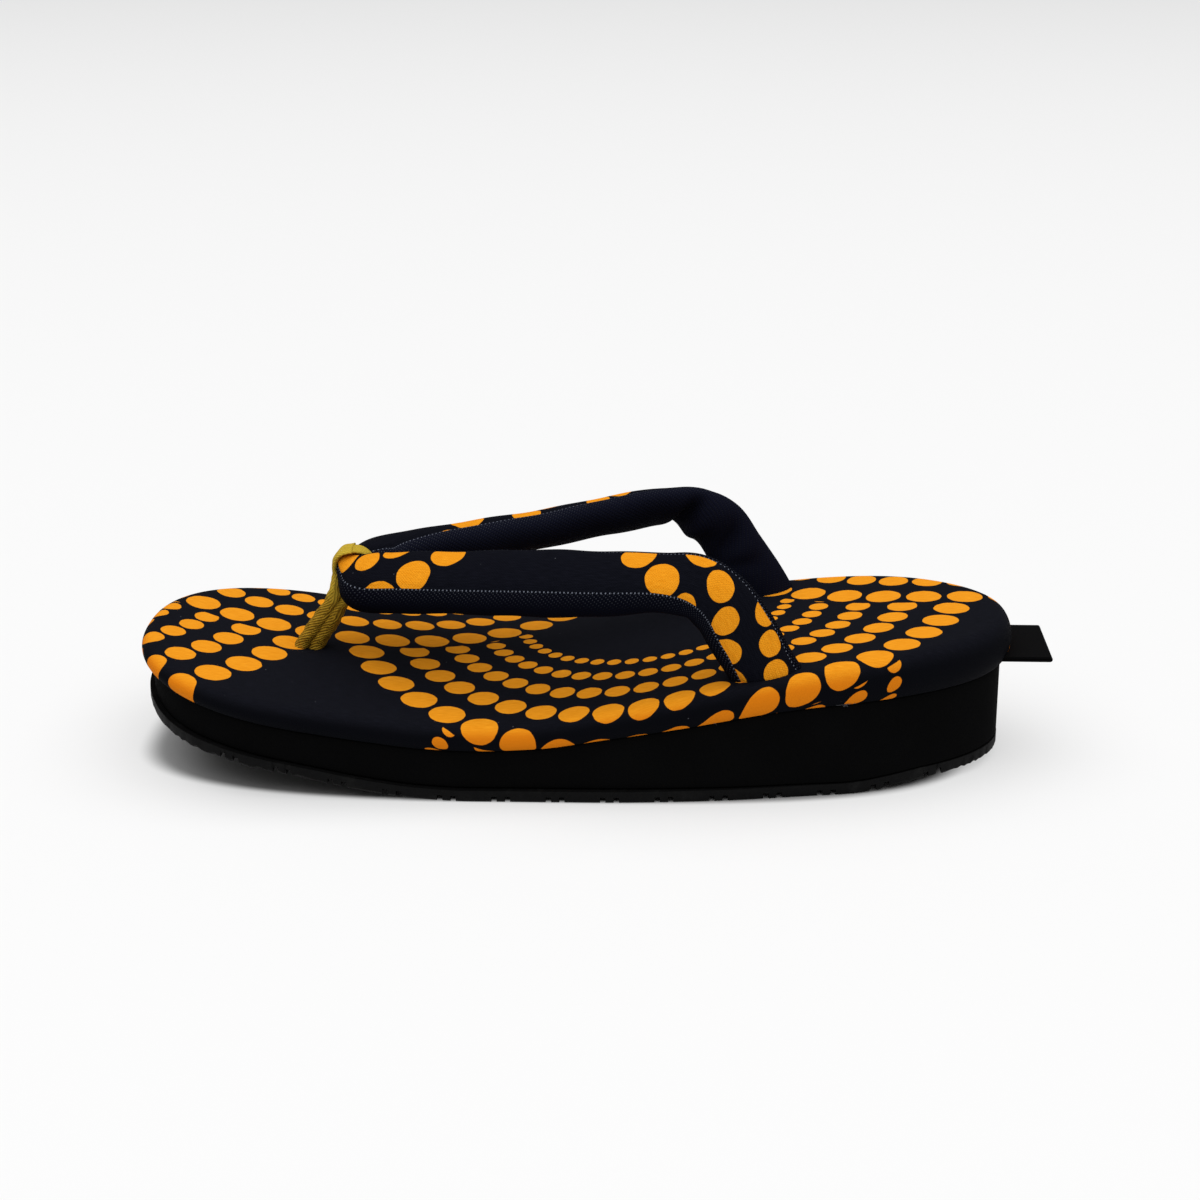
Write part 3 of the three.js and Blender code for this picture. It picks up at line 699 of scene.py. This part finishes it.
# %% Node helpers
class Nodes:
    """One shader node tree, with short ways to add to it."""

    def __init__(self, tree):
        self.tree = tree

    def join(self, socket, value):
        """Links an output to a socket, or sets the socket to a plain value."""
        if isinstance(value, bpy.types.NodeSocket):
            self.tree.links.new(value, socket)
        else:
            socket.default_value = value

    def add(self, kind, inputs, **settings):
        """A node of a kind with its settings; its inputs are joined by name or number."""
        node = self.tree.nodes.new("ShaderNode" + kind)
        for name, value in settings.items():
            setattr(node, name, value)
        for key, value in inputs.items():
            self.join(node.inputs[key], value)
        return node

    def calc(self, operation, *values):
        """A math node on outputs or numbers."""
        return self.add("Math", dict(enumerate(values)), operation=operation).outputs[0]

    def fade(self, value, low, high):
        """0 at low, 1 at high, eased between them; low may be above high."""
        inputs = {"Value": value, "From Min": low, "From Max": high}
        return self.add("MapRange", inputs, interpolation_type="SMOOTHSTEP").outputs["Result"]

    def blend(self, share, first, second):
        """Mixes two colours by a share."""
        return self.add("Mix", {0: share, 6: first, 7: second}, data_type="RGBA").outputs[2]

    def noise(self, vector, scale, detail=2.0, roughness=0.5):
        """A noise value from 0 to 1; scale is the number of features to one unit of the vector."""
        inputs = {"Vector": vector, "Scale": scale, "Detail": detail, "Roughness": roughness}
        return self.add("TexNoise", inputs).outputs["Fac"]

    def split(self, vector):
        """The three numbers of a vector."""
        return self.add("SeparateXYZ", {0: vector}).outputs

    def hypot(self, first, second):
        """The root of the sum of two squares."""
        squares = self.calc("ADD", self.calc("MULTIPLY", first, first), self.calc("MULTIPLY", second, second))
        return self.calc("SQRT", squares)

    def place(self, group, **values):
        """Puts a group into the tree and joins its inputs by name (an underscore stands for a space)."""
        inputs = {label.replace("_", " "): value for label, value in values.items()}
        return self.add("Group", inputs, node_tree=group).outputs


def node_group(name, numbers, results):
    """A new shader group: a place on the cloth in mm and some numbers go in, masks and heights come out. Gives the
    group, its nodes, what goes in, and the sockets for what comes out."""
    tree = bpy.data.node_groups.new(name, "ShaderNodeTree")
    tree.interface.new_socket(name="Cloth", in_out="INPUT", socket_type="NodeSocketVector")
    for direction, labels in (("INPUT", numbers), ("OUTPUT", results)):
        for label in labels:
            tree.interface.new_socket(name=label, in_out=direction, socket_type="NodeSocketFloat")
    given, made = tree.nodes.new("NodeGroupInput"), tree.nodes.new("NodeGroupOutput")
    return tree, Nodes(tree), given.outputs, made.inputs


# %% [markdown]
# The cotton's print is a common dot-ring pattern: round medallions, each five rings of dots that grow outwards, in
# rows that overlap like scales. An image could be painted, but a rule is sharper at any distance. One group draws a
# row of medallions: it finds the nearest centre, the nearest ring and the nearest dot on it. A ring's radius grows with
# its number and the number's square, so the nearest ring comes from solving that square. A second group lays three
# rows over each other, the farther row on top. The lowest row shows only from one place on.

# %% Dot-ring print
MEDALLION_PITCH, DISC_RADIUS = 194.2, 96.6
ROW_CENTRES = ((251.6, -25.0), (149.8, 28.6), (246.9, 100.4))
DOTS_PER_RING, LAST_RING = 48, 4.0
RING_START, RING_STEP, RING_GROWTH = 40.8, 9.9, 0.64
DOT_START, DOT_GROWTH = 4.2, 1.5
# softness of an ink edge and drift of the cloth in mm, and the drift's features to the mm
INK_SOFT, DRIFT, DRIFT_RATE = 0.08, 0.5, 0.35

row_group, sheet, given, made = node_group("medallion row", ["Centre along", "Centre across"], ["Dot", "Disc"])
half_pitch, half_dot = MEDALLION_PITCH / 2, np.pi / DOTS_PER_RING
place = sheet.split(given["Cloth"])
run = sheet.calc("WRAP", sheet.calc("SUBTRACT", place[0], given["Centre along"]), half_pitch, -half_pitch)
over = sheet.calc("SUBTRACT", place[1], given["Centre across"])
distance = sheet.hypot(run, over)
under_root = sheet.calc("MULTIPLY_ADD", distance, 4 * RING_GROWTH, RING_STEP ** 2 - 4 * RING_GROWTH * RING_START)
ring = sheet.calc("SQRT", sheet.calc("MAXIMUM", under_root, 0.0))
ring = sheet.calc("MULTIPLY_ADD", ring, 1 / (2 * RING_GROWTH), -RING_STEP / (2 * RING_GROWTH))
ring = sheet.calc("ROUND", sheet.calc("MINIMUM", sheet.calc("MAXIMUM", ring, 0.0), LAST_RING))
ring_radius = sheet.calc("MULTIPLY_ADD", ring, sheet.calc("MULTIPLY_ADD", ring, RING_GROWTH, RING_STEP), RING_START)
dot_radius = sheet.calc("MULTIPLY_ADD", ring, DOT_GROWTH / 2, DOT_START / 2)
heading = sheet.calc("ADD", sheet.calc("ARCTAN2", over, run), half_dot)
sideways = sheet.calc("MULTIPLY", sheet.calc("WRAP", heading, half_dot, -half_dot), ring_radius)
outwards = sheet.calc("SUBTRACT", distance, ring_radius)
from_edge = sheet.calc("SUBTRACT", dot_radius, sheet.hypot(sideways, outwards))
sheet.join(made["Dot"], sheet.fade(from_edge, -INK_SOFT, INK_SOFT))
sheet.join(made["Disc"], sheet.fade(distance, DISC_RADIUS + INK_SOFT, DISC_RADIUS - INK_SOFT))

print_group, sheet, given, made = node_group("dot-ring print", ["Lowest row from"], ["Dot"])
wobble = sheet.add("TexNoise", {"Vector": given["Cloth"], "Scale": DRIFT_RATE}).outputs["Color"]
drifted = sheet.add("VectorMath", {0: wobble, 1: (DRIFT, DRIFT, 0), 2: given["Cloth"]}, operation="MULTIPLY_ADD")
rows = [sheet.place(row_group, Cloth=drifted.outputs[0], Centre_along=centre[0], Centre_across=centre[1])
        for centre in ROW_CENTRES]
lowest = sheet.calc("GREATER_THAN", sheet.split(given["Cloth"])[0], given["Lowest row from"])
dots = sheet.calc("MULTIPLY", rows[0]["Dot"], lowest)
for row in rows[1:]:
    below = sheet.calc("MULTIPLY", dots, sheet.calc("SUBTRACT", 1.0, row["Disc"]))
    dots = sheet.calc("ADD", below, sheet.calc("MULTIPLY", row["Dot"], row["Disc"]))
sheet.join(made["Dot"], dots)
print("print:", DOTS_PER_RING, "dots to a ring, medallions", MEDALLION_PITCH, "mm apart")

# %% [markdown]
# Cotton has a plain weave: threads go over and under each other in both directions. Denim is a twill: each pale
# thread steps one place to the side, so fine diagonal ribs appear, called wales, with short pale floats between them.
# A picture of cloth could be tiled, but it would blur close by. Here both are made from sine waves on the cloth's own
# coordinates, in millimetres, and give a height for bump and a mask for the pale floats. A random number for each float
# decides how much of it still shows. A last group scatters lint.

# %% Weave groups
SLUB_STRETCH, SLUB_RATE = (0.25, 3.0, 1.0), 1.2
WALE_RISE, WALE_JITTER, WALE_STEP = 1.15, 0.35, 0.37
WALE_SLANT = np.hypot(1.0, WALE_RISE)
JITTER_RATE, PATCH_RATE = 0.9, 0.25
LINT_RATE, LINT_RARE = 0.24, 0.72

weave_group, sheet, given, made = node_group("plain weave", ["Threads to the mm"], ["Height", "Slub"])
place = sheet.split(given["Cloth"])
rate = sheet.calc("MULTIPLY", given["Threads to the mm"], np.pi)
warp, weft = (sheet.calc("SINE", sheet.calc("MULTIPLY", place[axis], rate)) for axis in (0, 1))
sheet.join(made["Height"], sheet.calc("MULTIPLY_ADD", sheet.calc("MULTIPLY", warp, weft), 0.5, 0.5))
stretched = sheet.add("Mapping", {"Vector": given["Cloth"], "Scale": SLUB_STRETCH}).outputs[0]
sheet.join(made["Slub"], sheet.noise(stretched, SLUB_RATE, 3))

twill_group, sheet, given, made = node_group("twill", ["Wale mm", "Float mm", "Worn"], ["Height", "Pale"])
place = sheet.split(given["Cloth"])
across_wale = sheet.calc("ADD", place[0], sheet.calc("MULTIPLY", place[1], WALE_RISE))
across_wale = sheet.calc("MULTIPLY_ADD", sheet.noise(given["Cloth"], JITTER_RATE), WALE_JITTER, across_wale)
across_wale = sheet.calc("DIVIDE", across_wale, sheet.calc("MULTIPLY", given["Wale mm"], WALE_SLANT))
wale = sheet.calc("FLOOR", across_wale)
wave = sheet.calc("SINE", sheet.calc("MULTIPLY", across_wale, 2 * np.pi))
sheet.join(made["Height"], sheet.calc("MULTIPLY_ADD", wave, 0.5, 0.5))
along_wale = sheet.calc("SUBTRACT", sheet.calc("MULTIPLY", place[0], WALE_RISE), place[1])
along_wale = sheet.calc("DIVIDE", along_wale, sheet.calc("MULTIPLY", given["Float mm"], WALE_SLANT))
along_wale = sheet.calc("MULTIPLY_ADD", wale, WALE_STEP, along_wale)
float_wave = sheet.calc("SINE", sheet.calc("MULTIPLY", along_wale, 2 * np.pi))
float_mask = sheet.calc("MULTIPLY", sheet.fade(wave, -0.25, -0.85), sheet.fade(float_wave, 0.1, 0.75))
float_number = sheet.calc("FLOOR", sheet.calc("ADD", along_wale, 0.25))
cell = sheet.add("CombineXYZ", {0: wale, 1: float_number}).outputs[0]
luck = sheet.add("TexWhiteNoise", {"Vector": cell}, noise_dimensions="2D").outputs["Value"]
patch = sheet.calc("MULTIPLY_ADD", sheet.noise(given["Cloth"], PATCH_RATE, 3), 0.5, -0.25)
starts, full = (sheet.calc("SUBTRACT", limit, given["Worn"]) for limit in (0.9, 1.4))
gate = sheet.fade(sheet.calc("ADD", luck, patch), starts, full)
sheet.join(made["Pale"], sheet.calc("MULTIPLY", float_mask, gate))

lint_group, sheet, given, made = node_group("lint", [], ["Speck"])
cells = sheet.add("TexVoronoi", {"Vector": given["Cloth"], "Scale": LINT_RATE}).outputs
pick = sheet.add("SeparateColor", {0: cells["Color"]}).outputs[0]
near = sheet.fade(cells["Distance"], 0.055, 0.03)
sheet.join(made["Speck"], sheet.calc("MULTIPLY", near, sheet.calc("GREATER_THAN", pick, LINT_RARE)))
print("groups:", [group.name for group in bpy.data.node_groups])

# %% [markdown]
# Each material starts the same way: a Principled shader, and coordinates that stay with the piece. They are the flat
# cloth in millimetres, or the object's own place in metres. Numbers that are the same all over a surface, such as the
# specular level, are set on the shader itself.

# %% Material start
class Finish(Nodes):
    """A material's node tree, with the sockets of its Principled shader."""

    def __init__(self, name, roughness, specular):
        self.material = bpy.data.materials.new(name)
        self.material.use_nodes = True
        super().__init__(self.material.node_tree)
        self.shader = self.tree.nodes["Principled BSDF"].inputs
        self.join(self.shader["Roughness"], roughness)
        self.join(self.shader["Specular IOR Level"], specular)

    def cloth(self):
        """The piece's UV map, turned from metres into millimetres."""
        flat = self.add("UVMap", {}, uv_map="cloth").outputs[0]
        return self.add("VectorMath", {0: flat, "Scale": 1 / MM}, operation="SCALE").outputs[0]

    def body(self):
        """Object coordinates in metres."""
        return self.add("TexCoord", {}).outputs["Object"]

    def mark(self, name):
        """A number that is stored on the piece's points."""
        return self.add("Attribute", {}, attribute_name=name).outputs["Fac"]

    def bump(self, height, strength, distance):
        """A bump node on the shader's normal; distance is in metres."""
        node = self.add("Bump", {"Strength": strength, "Distance": distance, "Height": height})
        self.join(self.shader["Normal"], node.outputs[0])

    def dress(self, obj, colour):
        """Joins the colour and puts the finish on a piece."""
        self.join(self.shader["Base Color"], colour)
        obj.data.materials.append(self.material)
        print(obj.name, "wears", self.material.name, "with", len(self.tree.nodes), "nodes")


# %% [markdown]
# The printed cotton is navy with orange ink. Ground and ink are worn paler along the thicker threads, which are called
# slubs. One colour for each would do from afar, but close by it would look like paint. On the pad's wall, where the
# cloth turns under, both are painted darker as shade. The strap uses the same cotton, so a function makes its colour.

# %% Printed cotton
# The wall colours are painted shade: a darker navy and a darker ink for where the cloth turns under.
NAVY, NAVY_WORN, NAVY_WALL_SHADE = (0.0032, 0.0035, 0.0060, 1), (0.0056, 0.0060, 0.0100, 1), (0.0016, 0.0018, 0.0032, 1)
ORANGE, ORANGE_DEEP, ORANGE_WALL_SHADE = (0.82, 0.320, 0.015, 1), (0.71, 0.244, 0.007, 1), (0.66, 0.185, 0.005, 1)
LINT, LINT_SHOWN = (0.35, 0.36, 0.40, 1), 0.2
COTTON_THREADS = 2.4
PAD_LOWEST_ROW = 75.0


def printed_cotton(finish, cloth, print_place, lowest_row, wall=None):
    """Colour and weave height of the cotton: worn ground with lint, and worn ink where the print has a dot."""
    dot = finish.place(print_group, Cloth=print_place, Lowest_row_from=lowest_row)["Dot"]
    weave = finish.place(weave_group, Cloth=cloth, Threads_to_the_mm=COTTON_THREADS)
    ground = finish.blend(finish.fade(weave["Slub"], 0.35, 0.75), NAVY, NAVY_WORN)
    ink = finish.blend(finish.fade(weave["Slub"], 0.3, 0.75), ORANGE_DEEP, ORANGE)
    # On the wall, ground and ink change to the darker wall colours: painted shade.
    if wall is not None:
        ground = finish.blend(wall, ground, NAVY_WALL_SHADE)
        ink = finish.blend(wall, ink, ORANGE_WALL_SHADE)
    speck = finish.calc("MULTIPLY", finish.place(lint_group, Cloth=cloth)["Speck"], LINT_SHOWN)
    ground = finish.blend(speck, ground, LINT)
    return finish.blend(dot, ground, ink), weave["Height"]


cotton = Finish("printed_cotton", 0.85, 0.04)
cloth = cotton.cloth()
printed, weave_height = printed_cotton(cotton, cloth, cloth, PAD_LOWEST_ROW, cotton.mark("wall"))
cotton.bump(weave_height, 0.35, 0.00012)
cotton.dress(footbed, printed)

# %% [markdown]
# The strap wears both cloths. Two materials would need a cut along each seam. Instead a number stored on its points
# tells how far each place is from the nearest seam, above zero on the print and below zero on the denim, so one
# material can change over at the seam and set pale thread ends along the folded denim edge. Near and far half show
# different places of the print, and the far half's denim is lighter, with more pale floats.

# %% Strap cloth
DENIM, DENIM_LIGHT = (0.0010, 0.0011, 0.0028, 1), (0.0017, 0.0020, 0.0050, 1)
DENIM_FAR, DENIM_LIGHT_FAR = (0.0031, 0.0034, 0.0078, 1), (0.0050, 0.0057, 0.0130, 1)
PALE_THREAD = (0.34, 0.37, 0.45, 1)
PRINT_PULL, PRINT_SHIFT_NEAR, PRINT_SHIFT_FAR = (1.033, 1.0), (-15.6, -44.1), (63.5, -41.3)
NO_LOWEST_ROW = 500.0
SEAM_SOFT, FAR_CHANGE_REACH = 0.05, 20.0
# how much of the pale floats shows: everywhere, more near a seam, more on the far half
FLECKS, FLECKS_SEAM, FLECKS_FAR = 0.006, 0.085, 0.022
END_PITCH, ENDS_SHOWN = 1.15, 0.40

denim = Finish("strap_cloth", 0.9, 0.02)
cloth = denim.cloth()
place = denim.split(cloth)
seam_mm = denim.calc("MULTIPLY", denim.mark("seam"), 1 / MM)
is_print = denim.fade(seam_mm, -SEAM_SOFT, SEAM_SOFT)
is_far = denim.calc("LESS_THAN", place[0], 0.0)
shifted = {}
for axis, (pull, near, far) in enumerate(zip(PRINT_PULL, PRINT_SHIFT_NEAR, PRINT_SHIFT_FAR)):
    shift = denim.calc("MULTIPLY_ADD", is_far, far - near, near)
    shifted[axis] = denim.calc("MULTIPLY_ADD", place[axis], pull, shift)
print_place = denim.add("CombineXYZ", shifted).outputs[0]
printed, weave_height = printed_cotton(denim, cloth, print_place, NO_LOWEST_ROW)

twill = denim.place(twill_group, Cloth=cloth, Wale_mm=0.95, Float_mm=0.75, Worn=1.15)
# A lighter denim, with more pale floats, on the far half of the strap, blended in over a short reach at the bend.
far_share = denim.fade(place[0], FAR_CHANGE_REACH, -FAR_CHANGE_REACH)
groove = denim.blend(far_share, DENIM, DENIM_FAR)
rib = denim.blend(far_share, DENIM_LIGHT, DENIM_LIGHT_FAR)
colour = denim.blend(twill["Height"], groove, rib)
shown = denim.calc("MULTIPLY_ADD", denim.fade(seam_mm, -6.0, -0.5), FLECKS_SEAM, FLECKS)
shown = denim.calc("MULTIPLY_ADD", far_share, FLECKS_FAR, shown)
colour = denim.blend(denim.calc("MULTIPLY", twill["Pale"], shown), colour, PALE_THREAD)
ends = denim.calc("SINE", denim.calc("MULTIPLY", place[0], 2 * np.pi / END_PITCH))
on_fold = denim.calc("MULTIPLY", denim.fade(seam_mm, -0.55, -0.4), denim.fade(seam_mm, -0.05, -0.12))
ends = denim.calc("MULTIPLY", denim.fade(ends, 0.45, 0.85), on_fold)
colour = denim.blend(denim.calc("MULTIPLY", ends, ENDS_SHOWN), colour, PALE_THREAD)
height = denim.add("Mix", {0: is_print, 2: twill["Height"], 3: weave_height}).outputs[0]
denim.bump(height, 0.5, 0.0002)
denim.dress(strap, denim.blend(is_print, colour, printed))

# %% [markdown]
# The thong's twill is coarser and one colour, mustard, with painted shade in the grooves between its ribs. Where it is
# drawn tight over the strap it is paler. A painted mask could show that, but the UV map's first number is the length
# along the strip, so it can tell.

# %% Mustard twill
MUSTARD, MUSTARD_LIGHT, MUSTARD_PALE = (0.098, 0.052, 0.005, 1), (0.48, 0.285, 0.024, 1), (0.62, 0.44, 0.045, 1)
# where along the strip, in mm, and how much
TIGHT_FROM, TIGHT_TO, TIGHT_PALE = 17.0, 25.0, 0.7

mustard = Finish("mustard_twill", 0.9, 0.04)
cloth = mustard.cloth()
twill = mustard.place(twill_group, Cloth=cloth, Wale_mm=0.75, Float_mm=0.8, Worn=0.3)
mottle = mustard.calc("MULTIPLY_ADD", mustard.noise(cloth, 0.5, 3), 0.7, -0.25)
# The twill's height darkens the grooves towards the dark mustard: painted shade, with a random mottle on top.
tone = mustard.calc("MULTIPLY_ADD", twill["Height"], 0.75, mottle)
tight = mustard.calc("MULTIPLY", mustard.fade(mustard.split(cloth)[0], TIGHT_FROM, TIGHT_TO), TIGHT_PALE)
mustard.bump(twill["Height"], 0.7, 0.0003)
mustard.dress(thong, mustard.blend(tight, mustard.blend(tone, MUSTARD, MUSTARD_LIGHT), MUSTARD_PALE))

# %% [markdown]
# Foam, rubber and ribbon are all black, and only their surfaces tell them apart. One black could serve all three, but
# then the sole would look like one block. The foam is matte with a fine ground grain, the rubber is a little greyer
# with scuffs, and the ribbon has a fine rib. The loose threads are a plain grey.

# %% Black materials
FOAM, FOAM_LIGHT = (0.0012, 0.0012, 0.0012, 1), (0.0036, 0.0036, 0.0038, 1)
RUBBER, RUBBER_LIGHT = (0.0024, 0.0024, 0.0025, 1), (0.0060, 0.0060, 0.0063, 1)
RUBBER_SCUFF, SCUFF_SHOWN = (0.016, 0.016, 0.0155, 1), 0.5
RIBBON, RIBBON_LIGHT, RIBBON_THREADS = (0.001, 0.001, 0.0011, 1), (0.003, 0.003, 0.0033, 1), 3.0
THREAD_GREY = (0.09, 0.09, 0.10, 1)

foam = Finish("black_foam", 0.95, 0.02)
where = foam.body()
grain = foam.noise(where, 1400, 4, 0.65)
cloud = foam.noise(where, 60, 3)
tone = foam.calc("ADD", foam.calc("MULTIPLY", grain, 0.5), foam.calc("MULTIPLY", cloud, 0.5))
foam.bump(grain, 0.3, 0.0003)
foam.dress(midsole, foam.blend(tone, FOAM, FOAM_LIGHT))

rubber = Finish("sole_rubber", 0.75, 0.05)
where = rubber.body()
grain = rubber.noise(where, 900, 4, 0.6)
scuff = rubber.fade(rubber.noise(where, 130, 5, 0.7), 0.52, 0.75)
dull = rubber.blend(grain, RUBBER, RUBBER_LIGHT)
rubber.join(rubber.shader["Roughness"], rubber.calc("MULTIPLY_ADD", scuff, 0.2, 0.6))
rubber.bump(grain, 0.35, 0.0003)
rubber.dress(outsole, rubber.blend(rubber.calc("MULTIPLY", scuff, SCUFF_SHOWN), dull, RUBBER_SCUFF))

ribbon = Finish("black_ribbon", 0.8, 0.03)
weave = ribbon.place(weave_group, Cloth=ribbon.cloth(), Threads_to_the_mm=RIBBON_THREADS)
ribbon.bump(weave["Height"], 0.4, 0.00015)
ribbon.dress(tag, ribbon.blend(weave["Slub"], RIBBON, RIBBON_LIGHT))

Finish("grey_lint", 0.95, 0.02).dress(threads, THREAD_GREY)

# %% [markdown]
# The stage is a wide white floor under a broad soft ceiling of light, as in a photo studio. Several lamps could stand
# round the sandal, but each would leave its own edge of shadow. The world adds only a little, so faces that look at
# the camera are darker than those that look up. The floor glows a little, as on a light table, but the glow is cut out
# below the sole: a painted contact shadow, which also keeps the grooves dark. The plain view transform keeps the white
# of the floor and the dark of the cloth.

# %% Stage and light
FLOOR_CORNERS = [(-6, -4, 0), (6, -4, 0), (6, 9, 0), (-6, 9, 0)]
FLOOR_GREY, FLOOR_GLOW, WORLD_GLOW = (0.38, 0.38, 0.38, 1), 0.51, 0.26
# The floor's glow is cut out inside a superellipse round the sole, set by these numbers: a painted contact shadow.
SHADOW_MIDDLE, SHADOW_HALF, SHADOW_POWER = (-0.012, 0), (0.118, 0.0465), 3
WHITE = (1, 1, 1, 1)

floor_mesh = bpy.data.meshes.new("floor")
floor_mesh.from_pydata(FLOOR_CORNERS, [], [(0, 1, 2, 3)])
floor = bpy.data.objects.new("floor", floor_mesh)
bpy.context.scene.collection.objects.link(floor)
paper = Finish("paper_floor", 0.9, 0.1)
place = paper.split(paper.body())
shadow_reach = []
for axis in (0, 1):
    away = paper.calc("ABSOLUTE", paper.calc("SUBTRACT", place[axis], SHADOW_MIDDLE[axis]))
    shadow_reach.append(paper.calc("POWER", paper.calc("DIVIDE", away, SHADOW_HALF[axis]), SHADOW_POWER))
# The glow is zero in the painted shadow under the sole and full beyond it.
outside = paper.fade(paper.calc("ADD", *shadow_reach), 0.88, 1.1)
paper.join(paper.shader["Emission Color"], WHITE)
paper.join(paper.shader["Emission Strength"], paper.calc("MULTIPLY", outside, FLOOR_GLOW))
paper.dress(floor, FLOOR_GREY)

world = bpy.data.worlds.new("studio")
bpy.context.scene.world = world
world.use_nodes = True
background = world.node_tree.nodes["Background"].inputs
background["Color"].default_value = WHITE
background["Strength"].default_value = WORLD_GLOW


def soft_lamp(name, place, aim, size, power):
    """A square area lamp at a place, turned to face a point."""
    data = bpy.data.lights.new(name, "AREA")
    data.size = size
    data.energy = power
    lamp = bpy.data.objects.new(name, data)
    lamp.location = place
    direction = np.array(aim, float) - np.array(place, float)
    flat = np.hypot(direction[0], direction[1])
    lamp.rotation_euler = (np.arctan2(flat, -direction[2]), 0, np.arctan2(-direction[0], direction[1]))
    bpy.context.scene.collection.objects.link(lamp)


soft_lamp("ceiling", (0, -0.9, 2.5), (0, -0.9, 0), 5.6, 160)
bpy.context.scene.view_settings.view_transform = "Standard"
